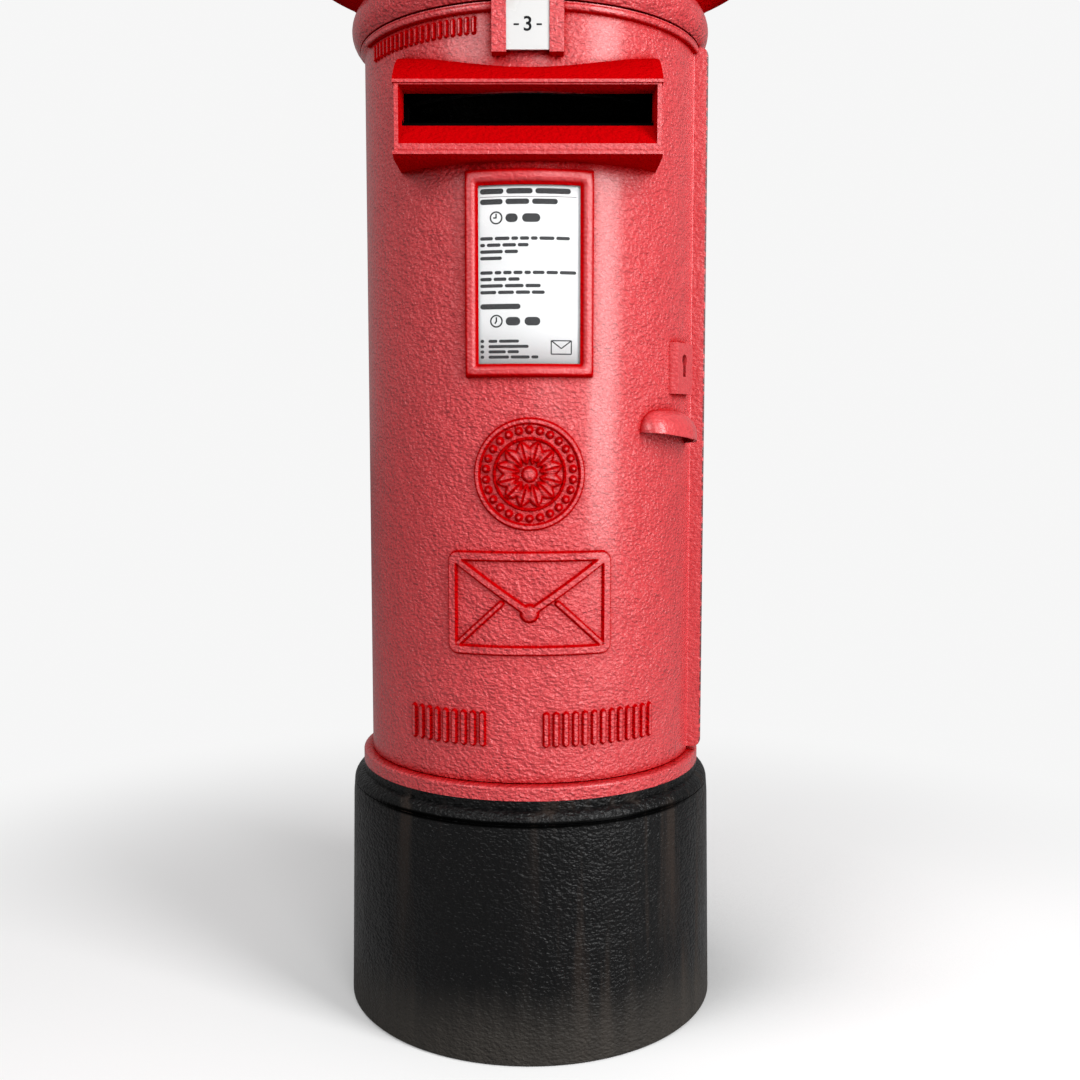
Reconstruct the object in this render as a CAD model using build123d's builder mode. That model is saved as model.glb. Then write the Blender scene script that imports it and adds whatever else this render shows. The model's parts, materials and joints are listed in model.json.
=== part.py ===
from build123d import *
import os
from math import atan2, cos, degrees, radians, sin, sqrt

# Pillar post box: a cast-iron drum on a black plinth, a domed cap, and a curved door that carries the
# letter slot, the notice holder and the lock. Millimetres. The origin is the middle of the underside
# and +Z is up. The door faces -Y. Angles go round the drum from the front, positive towards +X.

# Driving dimensions
plinth_radius = 262.0
plinth_height = 342.0
shell_radius = 229.0
wall = 12.0
ring_radius = 242.0
sill_height = 360.5
door_bottom = 362.0
door_top = 1327.0
bead_bottom = 1329.5
bead_radius = 246.0
shell_height = 1381.0
brim_radius = 324.0
total_height = 1600.0
door_right_angle = 75.0
strip_angle = 2.2
jamb_gap_angle = 0.4
hinge_angle = -92.0
hinge_pitch_radius = 222.0
knuckle_radius = 10.0
knuckle_relief = 10.8
hinge_groove = 13.0
knuckle_length = 60.0
knuckle_heights = (480.0, 845.0, 1210.0)
pin_radius = 5.0
running_clearance = 0.05
slot_middle = -1.7
slot_width = 305.0
slot_bottom = 1184.0
slot_top = 1222.0
notice_height = 1002.0
lock_angle = 60.8
lock_travel = 16.0

# Worked out from them
inner_radius = shell_radius - wall
strip_end_angle = door_right_angle + strip_angle
jamb_angle = strip_end_angle + jamb_gap_angle
lip_radius = shell_radius + 6.0
lip_start = door_top - 10.0
lip_full = door_top - 1.5
lip_stop_angle = 7.0
far = 2000.0


def radial_plane(angle):
    """Upright plane through the drum's axis, its X pointing outwards at the angle."""
    turn = radians(angle - 90)
    return Plane(origin=(0, 0, 0), x_dir=(cos(turn), sin(turn), 0), z_dir=(sin(turn), -cos(turn), 0))


def tangent_plane(angle, distance, height):
    """Upright plane facing outwards at the angle, its X to the right of a person facing it."""
    turn = radians(angle - 90)
    outwards = (cos(turn), sin(turn), 0)
    centre = (distance * cos(turn), distance * sin(turn), height)
    return Plane(origin=centre, x_dir=(-sin(turn), cos(turn), 0), z_dir=outwards)


def disc(plane, radius):
    with BuildSketch(plane) as made:
        Circle(radius)
    return made.sketch


def hexagon(plane, across_flats):
    with BuildSketch(plane) as made:
        RegularPolygon(radius=across_flats / 2, side_count=6, major_radius=False)
    return made.sketch


def rectangle(plane, x_low, x_high, y_low, y_high):
    with BuildSketch(plane) as made:
        with Locations(((x_low + x_high) / 2, (y_low + y_high) / 2)):
            Rectangle(x_high - x_low, y_high - y_low)
    return made.sketch


def annulus(inner, outer):
    with BuildSketch(Plane.XY) as made:
        Circle(outer)
        Circle(inner, mode=Mode.SUBTRACT)
    return made.sketch


def section(plane, points):
    """A closed straight-sided outline on a plane, for revolving or extruding."""
    with BuildSketch(plane) as made:
        with BuildLine():
            Polyline(*points, close=True)
        make_face()
    return made.sketch


def keep_between(inner, outer):
    """Trims the part in hand to the wall between two radii round the drum's axis."""
    extrude(annulus(inner, outer), amount=far, mode=Mode.INTERSECT)


def wall_panel(width, height, middle, inner, outer):
    """A panel bent to the drum's curve at the front of the door."""
    flat = rectangle(tangent_plane(0, 0, middle), -width / 2, width / 2, -height / 2, height / 2)
    extrude(flat, amount=far)
    keep_between(inner, outer)


def hinge_plane(height):
    return Plane(tangent_plane(hinge_angle, hinge_pitch_radius, height).origin, z_dir=(0, 0, 1))


def stop_lip_at_hinge(top):
    """Trims the flared lip on both sides of the hinge, where it would meet itself as the door opens."""
    lip_zone = [
        (shell_radius, lip_start - 1),
        (lip_radius + 3, lip_start - 1),
        (lip_radius + 3, top),
        (shell_radius, top),
    ]
    start = radial_plane(hinge_angle - lip_stop_angle)
    revolve(section(start, lip_zone), axis=Axis.Z, revolution_arc=2 * lip_stop_angle, mode=Mode.SUBTRACT)


def finish(builder, name):
    builder.part.label = name
    export_step(builder.part, f"parts/{name}.step")


os.makedirs("parts", exist_ok=True)

# ---------------------------------------------------------------- base plinth
foot_inner_radius = 175.0
foot_thickness = 18.0
flange_inner_radius = 180.0
plinth_flange = 18.0
anchor_circle_radius = 210.0
anchor_hole_radius = 9.0
joint_bolt_circle = 204.0
joint_hole_radius = 6.25
joint_bolt_radius = 6.0
shoulder_start = 316.0
shoulder_end = 331.0

with BuildPart() as base_plinth:
    with BuildSketch(Plane.XZ):
        with BuildLine():
            Polyline(
                (ring_radius, shoulder_end),
                (ring_radius, plinth_height),
                (flange_inner_radius, plinth_height),
                (flange_inner_radius, plinth_height - plinth_flange),
                (ring_radius - wall, plinth_height - plinth_flange),
                (plinth_radius - 18, plinth_height - 40),
                (plinth_radius - 14, foot_thickness),
                (foot_inner_radius, foot_thickness),
                (foot_inner_radius, 0),
                (plinth_radius - 3, 0),
                (plinth_radius, 3),
                (plinth_radius - 5, 296),
                (plinth_radius - 6.5, shoulder_start),
            )
            ThreePointArc(
                (plinth_radius - 6.5, shoulder_start),
                (plinth_radius - 11, shoulder_end - 5.5),
                (ring_radius, shoulder_end),
            )
        make_face()
    revolve(axis=Axis.Z)
    groove_height = 315.0
    groove_half = 2.4
    revolve(
        section(
            Plane.XZ,
            [
                (plinth_radius - 9.2, groove_height),
                (plinth_radius, groove_height + groove_half),
                (plinth_radius, groove_height - groove_half),
            ],
        ),
        axis=Axis.Z,
        mode=Mode.SUBTRACT,
    )
    with BuildSketch(Plane.XY):
        with PolarLocations(anchor_circle_radius, 4, start_angle=45):
            Circle(anchor_hole_radius)
    extrude(amount=foot_thickness, mode=Mode.SUBTRACT)
    with BuildSketch(Plane.XY.offset(plinth_height)):
        with PolarLocations(joint_bolt_circle, 4, start_angle=45):
            Circle(joint_hole_radius)
    extrude(amount=-plinth_flange, mode=Mode.SUBTRACT)
finish(base_plinth, "base_plinth")

# ---------------------------------------------------------------- body shell
shell_flange = 12.0
top_flange = 14.0
top_flange_inner = 190.0
cap_bolt_circle = 204.0
wall_section = [
    (inner_radius, plinth_height + 2),
    (shell_radius, plinth_height + 2),
    (shell_radius, lip_start),
    (lip_radius, lip_full),
    (lip_radius, bead_bottom + 1),
    (inner_radius, bead_bottom + 1),
]

with BuildPart() as body_shell:
    with BuildSketch(Plane.XZ):
        with BuildLine():
            Polyline(
                (ring_radius - 3, sill_height - 1),
                (shell_radius, sill_height),
                (inner_radius, sill_height),
                (inner_radius, plinth_height + shell_flange),
                (flange_inner_radius, plinth_height + shell_flange),
                (flange_inner_radius, plinth_height),
                (ring_radius, plinth_height),
                (ring_radius, sill_height - 4),
            )
            ThreePointArc(
                (ring_radius, sill_height - 4),
                (ring_radius - 0.9, sill_height - 1.9),
                (ring_radius - 3, sill_height - 1),
            )
        make_face()
    revolve(axis=Axis.Z)
    wall_sweep = 360 + hinge_angle - jamb_angle
    revolve(section(radial_plane(jamb_angle), wall_section), axis=Axis.Z, revolution_arc=wall_sweep)
    stop_lip_at_hinge(bead_bottom)
    with BuildSketch(Plane.XZ):
        with BuildLine():
            Polyline(
                (lip_radius + 0.5, bead_bottom),
                (inner_radius, bead_bottom),
                (inner_radius, shell_height - top_flange),
                (top_flange_inner, shell_height - top_flange),
                (top_flange_inner, shell_height),
                (lip_radius - 2, shell_height),
                (lip_radius + 1, shell_height - 3),
            )
            ThreePointArc(
                (lip_radius + 1, shell_height - 3),
                (bead_radius, (bead_bottom + shell_height) / 2),
                (lip_radius + 0.5, bead_bottom),
            )
        make_face()
    revolve(axis=Axis.Z)
    # Hinge edge: a hollow edge clears the door's bead, and three knuckles stand in it.
    opening_height = bead_bottom - sill_height
    knuckle_zone = knuckle_length + 2
    edge_levels = [sill_height]
    for centre in knuckle_heights:
        edge_levels += [centre - knuckle_zone / 2, centre + knuckle_zone / 2]
    edge_levels.append(bead_bottom)
    for low, high in zip(edge_levels[0::2], edge_levels[1::2]):
        extrude(disc(hinge_plane(low), knuckle_relief), amount=high - low, mode=Mode.SUBTRACT)
    groove = rectangle(hinge_plane(sill_height), -hinge_groove, 0, -hinge_groove, hinge_groove)
    extrude(groove & disc(hinge_plane(sill_height), hinge_groove), amount=opening_height, mode=Mode.SUBTRACT)
    for centre in knuckle_heights:
        knuckle = disc(hinge_plane(centre), knuckle_radius)
        extrude(knuckle, amount=knuckle_length / 2, both=True)
        bore = disc(hinge_plane(centre), pin_radius + running_clearance)
        extrude(bore, amount=knuckle_length, both=True, mode=Mode.SUBTRACT)
    with BuildSketch(Plane.XY.offset(plinth_height)):
        with PolarLocations(joint_bolt_circle, 4, start_angle=45):
            Circle(joint_hole_radius)
    extrude(amount=shell_flange, mode=Mode.SUBTRACT)
    with BuildSketch(Plane.XY.offset(shell_height)):
        with PolarLocations(cap_bolt_circle, 4, start_angle=45):
            Circle(joint_hole_radius)
    extrude(amount=-top_flange, mode=Mode.SUBTRACT)
finish(body_shell, "body_shell")

# ---------------------------------------------------------------- bolts that hold the shell to the plinth
bolt_head = 8.0
bolt_across_flats = 18.0

with BuildPart() as plinth_bolts:
    with BuildSketch(Plane.XY.offset(plinth_height + shell_flange)):
        with PolarLocations(joint_bolt_circle, 4, start_angle=45):
            RegularPolygon(radius=bolt_across_flats / 2, side_count=6, major_radius=False)
    extrude(amount=bolt_head)
    with BuildSketch(Plane.XY.offset(plinth_height + shell_flange)):
        with PolarLocations(joint_bolt_circle, 4, start_angle=45):
            Circle(joint_bolt_radius)
    extrude(amount=-(shell_flange + plinth_flange + 10))
finish(plinth_bolts, "plinth_bolts")

# ---------------------------------------------------------------- floor plate and its screws
floor_radius = 191.0
floor_thickness = 3.0
floor_screw_circle = 185.5
floor_level = plinth_height + shell_flange
floor_screw_radius = 2.5

with BuildPart() as floor_plate:
    with BuildSketch(Plane.XY.offset(floor_level)):
        Circle(floor_radius)
        with PolarLocations(floor_screw_circle, 4):
            Circle(floor_screw_radius + 0.3, mode=Mode.SUBTRACT)
        with GridLocations(60, 60, 3, 3):
            Circle(5, mode=Mode.SUBTRACT)
    extrude(amount=floor_thickness)
finish(floor_plate, "floor_plate")

with BuildPart() as floor_screws:
    with BuildSketch(Plane.XY.offset(floor_level + floor_thickness)):
        with PolarLocations(floor_screw_circle, 4):
            Circle(4.5)
    extrude(amount=3)
    fillet(edges().group_by(Axis.Z)[-1], 1.5)
    with BuildSketch(Plane.XY.offset(floor_level + floor_thickness)):
        with PolarLocations(floor_screw_circle, 4):
            Circle(floor_screw_radius)
    extrude(amount=-floor_thickness)
finish(floor_screws, "floor_screws")

# ---------------------------------------------------------------- roof cap and its bolts
cap_flange = 14.0
cap_wall = 11.0
neck_radius = 230.0
neck_height = 1388.0
lip_inner_radius = 306.0
brim_low = 1452.0
fascia_bottom = 1458.0
fascia_top = 1486.0
dome_edge_radius = 309.0
dome_edge_height = 1497.0


def dome_middle(edge_radius, edge_height, apex):
    """A point halfway out on the round arc that is level at the apex and meets the edge."""
    rise = apex - edge_height
    ball = (edge_radius**2 + rise**2) / (2 * rise)
    half = edge_radius / 2
    return (half, apex - ball + sqrt(ball**2 - half**2))


dome_outer = (dome_edge_radius - 3, dome_edge_height + 3)
dome_inner = (lip_inner_radius - 12, dome_edge_height - 9)

with BuildPart() as roof_cap:
    with BuildSketch(Plane.XZ):
        with BuildLine():
            Polyline(
                (0, total_height - cap_wall),
                (0, total_height),
            )
            ThreePointArc((0, total_height), dome_middle(*dome_outer, total_height), dome_outer)
            Polyline(
                dome_outer,
                (dome_edge_radius, dome_edge_height),
                (dome_edge_radius + 2, dome_edge_height - 3),
                (brim_radius - 6, dome_edge_height - 4),
            )
            ThreePointArc(
                (brim_radius - 6, dome_edge_height - 4),
                (brim_radius - 1.9, dome_edge_height - 6.2),
                (brim_radius, fascia_top),
            )
            Line((brim_radius, fascia_top), (brim_radius, fascia_bottom))
            ThreePointArc(
                (brim_radius, fascia_bottom),
                (brim_radius - 1.8, fascia_bottom - 4.2),
                (brim_radius - 6, fascia_bottom - 6),
            )
            Polyline(
                (brim_radius - 6, fascia_bottom - 6),
                (lip_inner_radius, fascia_bottom - 10),
                (lip_inner_radius - 1, fascia_bottom - 6),
                (lip_inner_radius - 4, fascia_bottom - 6),
                (lip_inner_radius - 5, fascia_bottom - 13),
            )
            ThreePointArc(
                (lip_inner_radius - 5, fascia_bottom - 13),
                (neck_radius + 30, neck_height + 26),
                (neck_radius, neck_height),
            )
            Polyline(
                (neck_radius, neck_height),
                (neck_radius, shell_height + 3),
                (lip_radius - 3, shell_height),
                (top_flange_inner, shell_height),
                (top_flange_inner, shell_height + cap_flange),
                (inner_radius - 4, shell_height + cap_flange),
                (lip_inner_radius - 22, fascia_bottom + 4),
                (lip_inner_radius - 8, fascia_bottom + 18),
                dome_inner,
            )
            inner_apex = total_height - cap_wall
            ThreePointArc(dome_inner, dome_middle(*dome_inner, inner_apex), (0, inner_apex))
        make_face()
    revolve(axis=Axis.Z)
    with BuildSketch(Plane.XY.offset(shell_height)):
        with PolarLocations(cap_bolt_circle, 4, start_angle=45):
            Circle(joint_hole_radius)
    extrude(amount=cap_flange, mode=Mode.SUBTRACT)
finish(roof_cap, "roof_cap")

with BuildPart() as cap_bolts:
    with BuildSketch(Plane.XY.offset(shell_height - top_flange)):
        with PolarLocations(cap_bolt_circle, 4, start_angle=45):
            RegularPolygon(radius=bolt_across_flats / 2, side_count=6, major_radius=False)
    extrude(amount=-bolt_head)
    with BuildSketch(Plane.XY.offset(shell_height - top_flange)):
        with PolarLocations(cap_bolt_circle, 4, start_angle=45):
            Circle(joint_bolt_radius)
    extrude(amount=top_flange + cap_flange + 6)
finish(cap_bolts, "cap_bolts")

# ---------------------------------------------------------------- hinge pins
pin_length = knuckle_length + 60

with BuildPart() as hinge_pins:
    for centre in knuckle_heights:
        extrude(disc(hinge_plane(centre), pin_radius), amount=pin_length / 2, both=True)
finish(hinge_pins, "hinge_pins")

# ---------------------------------------------------------------- door
notice_opening_width = 140.0
notice_opening_height = 225.0
keyhole_height = 904.5
keyhole_radius = 8.0
keyhole_slot = 9.4
keyhole_bottom = 883.0
keyhole_side = -2.5
hood_screw_angle = 30.0
hood_screw_heights = (1160.0, 1236.0)
hood_screw_radius = 3.0
notice_screw_x = 75.0
notice_screw_z = 117.0
notice_screw_radius = 2.5
lock_screw_x = 39.0
lock_low = 872.0
lock_high = 972.0
lock_screw_inset = 6.0
lock_screw_radius = 2.5


def keyhole(plane_distance, spare=0.0):
    """The key's outline, round at the top with a slot below, with spare room all round."""
    plane = tangent_plane(lock_angle, plane_distance, keyhole_height)
    with BuildSketch(plane) as made:
        with Locations((keyhole_side, 0)):
            Circle(keyhole_radius + spare)
        with Locations((keyhole_side, (keyhole_bottom - keyhole_height) / 2)):
            Rectangle(keyhole_slot + 2 * spare, keyhole_height - keyhole_bottom + 2 * spare)
    return made.sketch


def slot_outline(spare, distance=0.0):
    """The letter slot on an upright plane in front of the axis, with spare room all round."""
    half = slot_width / 2 + spare
    low, high = slot_bottom - spare, slot_top + spare
    return rectangle(Plane.XZ.offset(distance), slot_middle - half, slot_middle + half, low, high)


def hood_screw_planes(distance):
    """Planes at the four screws that hold the slot hood and the chute, facing outwards."""
    return [
        tangent_plane(side * hood_screw_angle, distance, height)
        for side in (-1, 1)
        for height in hood_screw_heights
    ]


def lock_screw_spots():
    """Places of the lock's four screws on a plane at the lock's angle, measured from its own height."""
    heights = (lock_low + lock_screw_inset, lock_high - lock_screw_inset)
    return [(side * lock_screw_x, height) for side in (-1, 1) for height in heights]


def notice_screw_spots():
    return [(side * notice_screw_x, step * notice_screw_z) for side in (-1, 1) for step in (-1, 1)]


door_section = [
    (inner_radius, door_bottom),
    (shell_radius, door_bottom),
    (shell_radius, lip_start),
    (lip_radius, lip_full),
    (lip_radius, door_top),
    (inner_radius, door_top),
]

with BuildPart() as door:
    door_sweep = door_right_angle - hinge_angle
    revolve(section(radial_plane(hinge_angle), door_section), axis=Axis.Z, revolution_arc=door_sweep)
    stop_lip_at_hinge(door_top + 1)
    groove = rectangle(hinge_plane(door_bottom), -hinge_groove, 0, -hinge_groove, hinge_groove)
    extrude(
        groove & disc(hinge_plane(door_bottom), hinge_groove),
        amount=door_top - door_bottom,
        mode=Mode.SUBTRACT,
    )
    for centre in knuckle_heights:
        cut = disc(hinge_plane(centre), knuckle_relief)
        extrude(cut, amount=knuckle_zone / 2, both=True, mode=Mode.SUBTRACT)
    bead_levels = [door_bottom]
    for centre in knuckle_heights:
        bead_levels += [centre - knuckle_zone / 2, centre + knuckle_zone / 2]
    bead_levels.append(door_top)
    for low, high in zip(bead_levels[0::2], bead_levels[1::2]):
        extrude(disc(hinge_plane(low), knuckle_radius), amount=high - low)
    for centre in knuckle_heights:
        bore = disc(hinge_plane(centre), pin_radius + running_clearance)
        extrude(bore, amount=pin_length / 2 + 1, both=True, mode=Mode.SUBTRACT)
    extrude(slot_outline(0.0), amount=far, mode=Mode.SUBTRACT)
    opening = rectangle(
        tangent_plane(0, 0, notice_height),
        -notice_opening_width / 2,
        notice_opening_width / 2,
        -notice_opening_height / 2,
        notice_opening_height / 2,
    )
    extrude(opening, amount=far, mode=Mode.SUBTRACT)
    extrude(keyhole(inner_radius - 20, spare=1.5), amount=60, mode=Mode.SUBTRACT)
    for plane in hood_screw_planes(inner_radius - 10):
        extrude(disc(plane, hood_screw_radius + 0.2), amount=40, mode=Mode.SUBTRACT)
    with BuildSketch(tangent_plane(lock_angle, inner_radius - 20, 0)):
        with Locations(*lock_screw_spots()):
            Circle(lock_screw_radius + 0.2)
    extrude(amount=26, mode=Mode.SUBTRACT)
    with BuildSketch(tangent_plane(0, inner_radius - 20, notice_height)):
        with Locations(*notice_screw_spots()):
            Circle(notice_screw_radius + 0.2)
    extrude(amount=22, mode=Mode.SUBTRACT)
finish(door, "door")

# ---------------------------------------------------------------- closing strip down the door's edge
strip_outer = shell_radius + 19.0
strip_bottom = 366.0
strip_top = 1326.0

with BuildPart() as closing_strip:
    with BuildSketch(radial_plane(door_right_angle)):
        with Locations(((inner_radius + strip_outer) / 2, (strip_bottom + strip_top) / 2)):
            Rectangle(strip_outer - inner_radius, strip_top - strip_bottom)
        outer_corners = vertices().group_by(Axis.X)[-1]
        fillet(outer_corners, 10)
    revolve(axis=Axis.Z, revolution_arc=strip_angle)
finish(closing_strip, "closing_strip")

# ---------------------------------------------------------------- slot hood
hood_front = 251.0
hood_back = 155.0
hood_half_width = 160.7
hood_lip = 2.0
hood_bottom = 1142.0
hood_top = 1229.5
roof_edge_thickness = 3.5
roof_shoulder = (211.0, 1262.0)
roof_back_height = 1281.0
floor_edge_thickness = 4.0
floor_turn = (240.0, 1138.5)
floor_back_height = 1139.5
mouth_half_width = 156.0
mouth_bottom = 1152.0
mouth_top = 1224.0
mouth_back = 229.5
side_plane = Plane(origin=(0, 0, 0), x_dir=(0, 0, 1), z_dir=(1, 0, 0))


def side_point(distance, height):
    """A point of the side view, from its distance in front of the axis and its height."""
    return (height, distance)


with BuildPart() as slot_hood:
    hood_middle = side_plane.offset(slot_middle)
    block = [
        side_point(hood_front, hood_bottom + 2),
        side_point(hood_front, hood_top - 2),
        side_point(hood_back, hood_top - 2),
        side_point(hood_back, hood_bottom + 2),
    ]
    extrude(section(hood_middle, block), amount=hood_half_width, both=True)
    roof_front = hood_front + hood_lip
    with BuildSketch(hood_middle):
        with BuildLine():
            Polyline(
                side_point(hood_back, roof_back_height),
                side_point(hood_back, hood_top - roof_edge_thickness),
                side_point(roof_front, hood_top - roof_edge_thickness),
                side_point(roof_front, hood_top),
            )
            ThreePointArc(
                side_point(roof_front, hood_top),
                side_point(*roof_shoulder),
                side_point(hood_back, roof_back_height),
            )
        make_face()
    extrude(amount=hood_half_width + hood_lip, both=True)
    underside = [
        side_point(roof_front, hood_bottom),
        side_point(roof_front, hood_bottom + floor_edge_thickness),
        side_point(hood_back, hood_bottom + floor_edge_thickness),
        side_point(hood_back, floor_back_height),
        side_point(*floor_turn),
    ]
    extrude(section(hood_middle, underside), amount=hood_half_width + hood_lip, both=True)
    extrude(disc(Plane.XY, shell_radius), amount=far, mode=Mode.SUBTRACT)
    with BuildSketch(Plane.XZ.offset(roof_front)):
        with Locations((slot_middle, (mouth_bottom + mouth_top) / 2)):
            Rectangle(2 * mouth_half_width, mouth_top - mouth_bottom)
    with BuildSketch(Plane.XZ.offset(mouth_back)):
        with Locations((slot_middle, (slot_bottom + slot_top) / 2)):
            Rectangle(slot_width, slot_top - slot_bottom)
    loft(mode=Mode.SUBTRACT)
    extrude(slot_outline(0.0), amount=mouth_back + 1, mode=Mode.SUBTRACT)
    for plane in hood_screw_planes(shell_radius - 10):
        extrude(disc(plane, hood_screw_radius + 0.1), amount=10 + 13, mode=Mode.SUBTRACT)
finish(slot_hood, "slot_hood")

# ---------------------------------------------------------------- letter chute inside the door
chute_sheet = 2.0
chute_half_width = 155.0
chute_reach = 22.0
chute_drop = 66.0
chute_front = 215.0

with BuildPart() as letter_chute:
    extrude(rectangle(Plane.XZ, -166, 166, slot_bottom - 33, slot_top + 20), amount=far)
    keep_between(inner_radius - 2.4, inner_radius - 0.2)
    extrude(slot_outline(1.5), amount=far, mode=Mode.SUBTRACT)
    end_level = slot_bottom - chute_drop
    base_sheet = [
        (slot_bottom - 1.5 - chute_sheet, chute_front),
        (slot_bottom - 1.5, chute_front),
        (end_level, chute_reach),
        (end_level - chute_sheet, chute_reach),
    ]
    extrude(section(side_plane.offset(slot_middle), base_sheet), amount=chute_half_width, both=True)
    for side in (-1, 1):
        cheek = [
            (slot_bottom - 1.5 - chute_sheet, chute_front),
            (slot_top + 5, chute_front),
            (slot_top + 5, chute_reach + 60),
            (end_level + 20, chute_reach),
            (end_level - chute_sheet, chute_reach),
        ]
        extrude(
            section(side_plane.offset(slot_middle + side * chute_half_width), cheek),
            amount=side * chute_sheet,
        )
    extrude(disc(Plane.XY, inner_radius - 0.2), amount=far, mode=Mode.INTERSECT)
    for plane in hood_screw_planes(inner_radius - 20):
        extrude(disc(plane, hood_screw_radius + 0.2), amount=30, mode=Mode.SUBTRACT)
finish(letter_chute, "letter_chute")

with BuildPart() as hood_screws:
    for plane in hood_screw_planes(inner_radius - 2.5):
        extrude(hexagon(plane, 10), amount=-4)
        extrude(disc(plane, hood_screw_radius), amount=2.5 + wall + 11)
finish(hood_screws, "hood_screws")

# ---------------------------------------------------------------- notice frame, window, card and back plate
frame_width = 160.0
frame_height = 253.0
frame_middle = 1003.5
frame_proud = 8.0
sight_width = 131.0
sight_height = 216.0
window_thickness = 2.8

with BuildPart() as notice_frame:
    wall_panel(frame_width, frame_height, frame_middle, shell_radius, shell_radius + frame_proud)
    sight = rectangle(
        tangent_plane(0, 0, notice_height),
        -sight_width / 2,
        sight_width / 2,
        -sight_height / 2,
        sight_height / 2,
    )
    extrude(sight, amount=far, mode=Mode.SUBTRACT)
    front_face = faces().filter_by(GeomType.CYLINDER).sort_by(Axis.Y)[0]
    fillet(front_face.edges(), 3.2)
    rebate = rectangle(
        tangent_plane(0, 0, notice_height),
        -sight_width / 2 - 4,
        sight_width / 2 + 4,
        -sight_height / 2 - 4,
        sight_height / 2 + 4,
    )
    with BuildPart(mode=Mode.PRIVATE) as pocket:
        extrude(rebate, amount=far)
        extrude(annulus(0.001, shell_radius + window_thickness + 0.2), amount=far, mode=Mode.INTERSECT)
    add(pocket.part, mode=Mode.SUBTRACT)
finish(notice_frame, "notice_frame")

with BuildPart() as notice_window:
    window_back = shell_radius + 0.1
    window_front = shell_radius + window_thickness
    wall_panel(sight_width + 7, sight_height + 7, notice_height, window_back, window_front)
finish(notice_window, "notice_window")

card_back = shell_radius - 1.0
with BuildPart() as notice_card:
    wall_panel(notice_opening_width - 2, notice_opening_height - 2, notice_height, card_back, shell_radius)
finish(notice_card, "notice_card")

with BuildPart() as notice_backing:
    wall_panel(notice_opening_width - 2, notice_opening_height - 2, notice_height, inner_radius, card_back)
finish(notice_backing, "notice_backing")

plate_back = inner_radius - 2.5
with BuildPart() as notice_back_plate:
    wall_panel(165, 250, notice_height, plate_back, inner_radius)
    with BuildSketch(tangent_plane(0, plate_back - 30, notice_height)):
        with Locations(*notice_screw_spots()):
            Circle(notice_screw_radius + 0.2)
    extrude(amount=60, mode=Mode.SUBTRACT)
finish(notice_back_plate, "notice_back_plate")

# The plate curves away to the sides, so the screws' heads stand on its inner corner line.
thumb_seat = sqrt(plate_back**2 - (notice_screw_x + 7) ** 2) - 0.1
with BuildPart() as notice_thumbscrews:
    with BuildSketch(tangent_plane(0, thumb_seat, notice_height)):
        with Locations(*notice_screw_spots()):
            RegularPolygon(radius=6.5, side_count=12)
    extrude(amount=-8)
    with BuildSketch(tangent_plane(0, thumb_seat, notice_height)):
        with Locations(*notice_screw_spots()):
            Circle(notice_screw_radius)
    extrude(amount=15)
finish(notice_thumbscrews, "notice_thumbscrews")

# ---------------------------------------------------------------- day tablet and its holder
tablet_middle = -1.7
tablet_sight = 52.0
rail_width = 17.7
holder_bottom = 1264.0
holder_top = 1326.5
holder_front = 243.5
rail_lip = 1.4
tablet_thickness = 2.5
tablet_overlap = 4.0
tablet_bottom = 1267.1
tablet_top = 1325.5
channel_spare = 0.35

with BuildPart() as tablet_holder:
    half = tablet_sight / 2 + rail_width
    block = rectangle(Plane.XZ, tablet_middle - half, tablet_middle + half, holder_bottom, holder_top)
    extrude(block, amount=holder_front)
    revolve(
        section(
            Plane.XZ,
            [
                (0, holder_bottom - 10),
                (shell_radius, holder_bottom - 10),
                (shell_radius, lip_start),
                (lip_radius, lip_full),
                (lip_radius, holder_top + 10),
                (0, holder_top + 10),
            ],
        ),
        axis=Axis.Z,
        mode=Mode.SUBTRACT,
    )
    sight = rectangle(
        Plane.XZ.offset(200),
        tablet_middle - tablet_sight / 2,
        tablet_middle + tablet_sight / 2,
        holder_bottom - 1,
        holder_top + 1,
    )
    extrude(sight, amount=100, mode=Mode.SUBTRACT)
    half_channel = tablet_sight / 2 + tablet_overlap + channel_spare
    channel = rectangle(
        Plane.XZ.offset(holder_front - rail_lip),
        tablet_middle - half_channel,
        tablet_middle + half_channel,
        tablet_bottom - 0.1,
        holder_top + 1,
    )
    extrude(channel, amount=-(tablet_thickness + 2 * channel_spare), mode=Mode.SUBTRACT)
    # A web behind the tablet joins the two rails.
    web_front = holder_front - rail_lip - tablet_thickness - 2 * channel_spare
    web = rectangle(
        Plane.XZ.offset(lip_radius),
        tablet_middle - tablet_sight / 2 - 1,
        tablet_middle + tablet_sight / 2 + 1,
        holder_bottom + 12,
        holder_top,
    )
    extrude(web, amount=web_front - lip_radius)
finish(tablet_holder, "tablet_holder")

with BuildPart() as day_tablet:
    tablet_half = tablet_sight / 2 + tablet_overlap
    face = rectangle(
        Plane.XZ.offset(holder_front - rail_lip - channel_spare),
        tablet_middle - tablet_half,
        tablet_middle + tablet_half,
        tablet_bottom,
        tablet_top,
    )
    extrude(face, amount=-tablet_thickness)
finish(day_tablet, "day_tablet")

# ---------------------------------------------------------------- lock escutcheon
escutcheon_face = shell_radius + 8.5
escutcheon_half_flat = 25.5
escutcheon_half_root = 30.0
escutcheon_bottom = 860.0
escutcheon_top = 927.0

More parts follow.
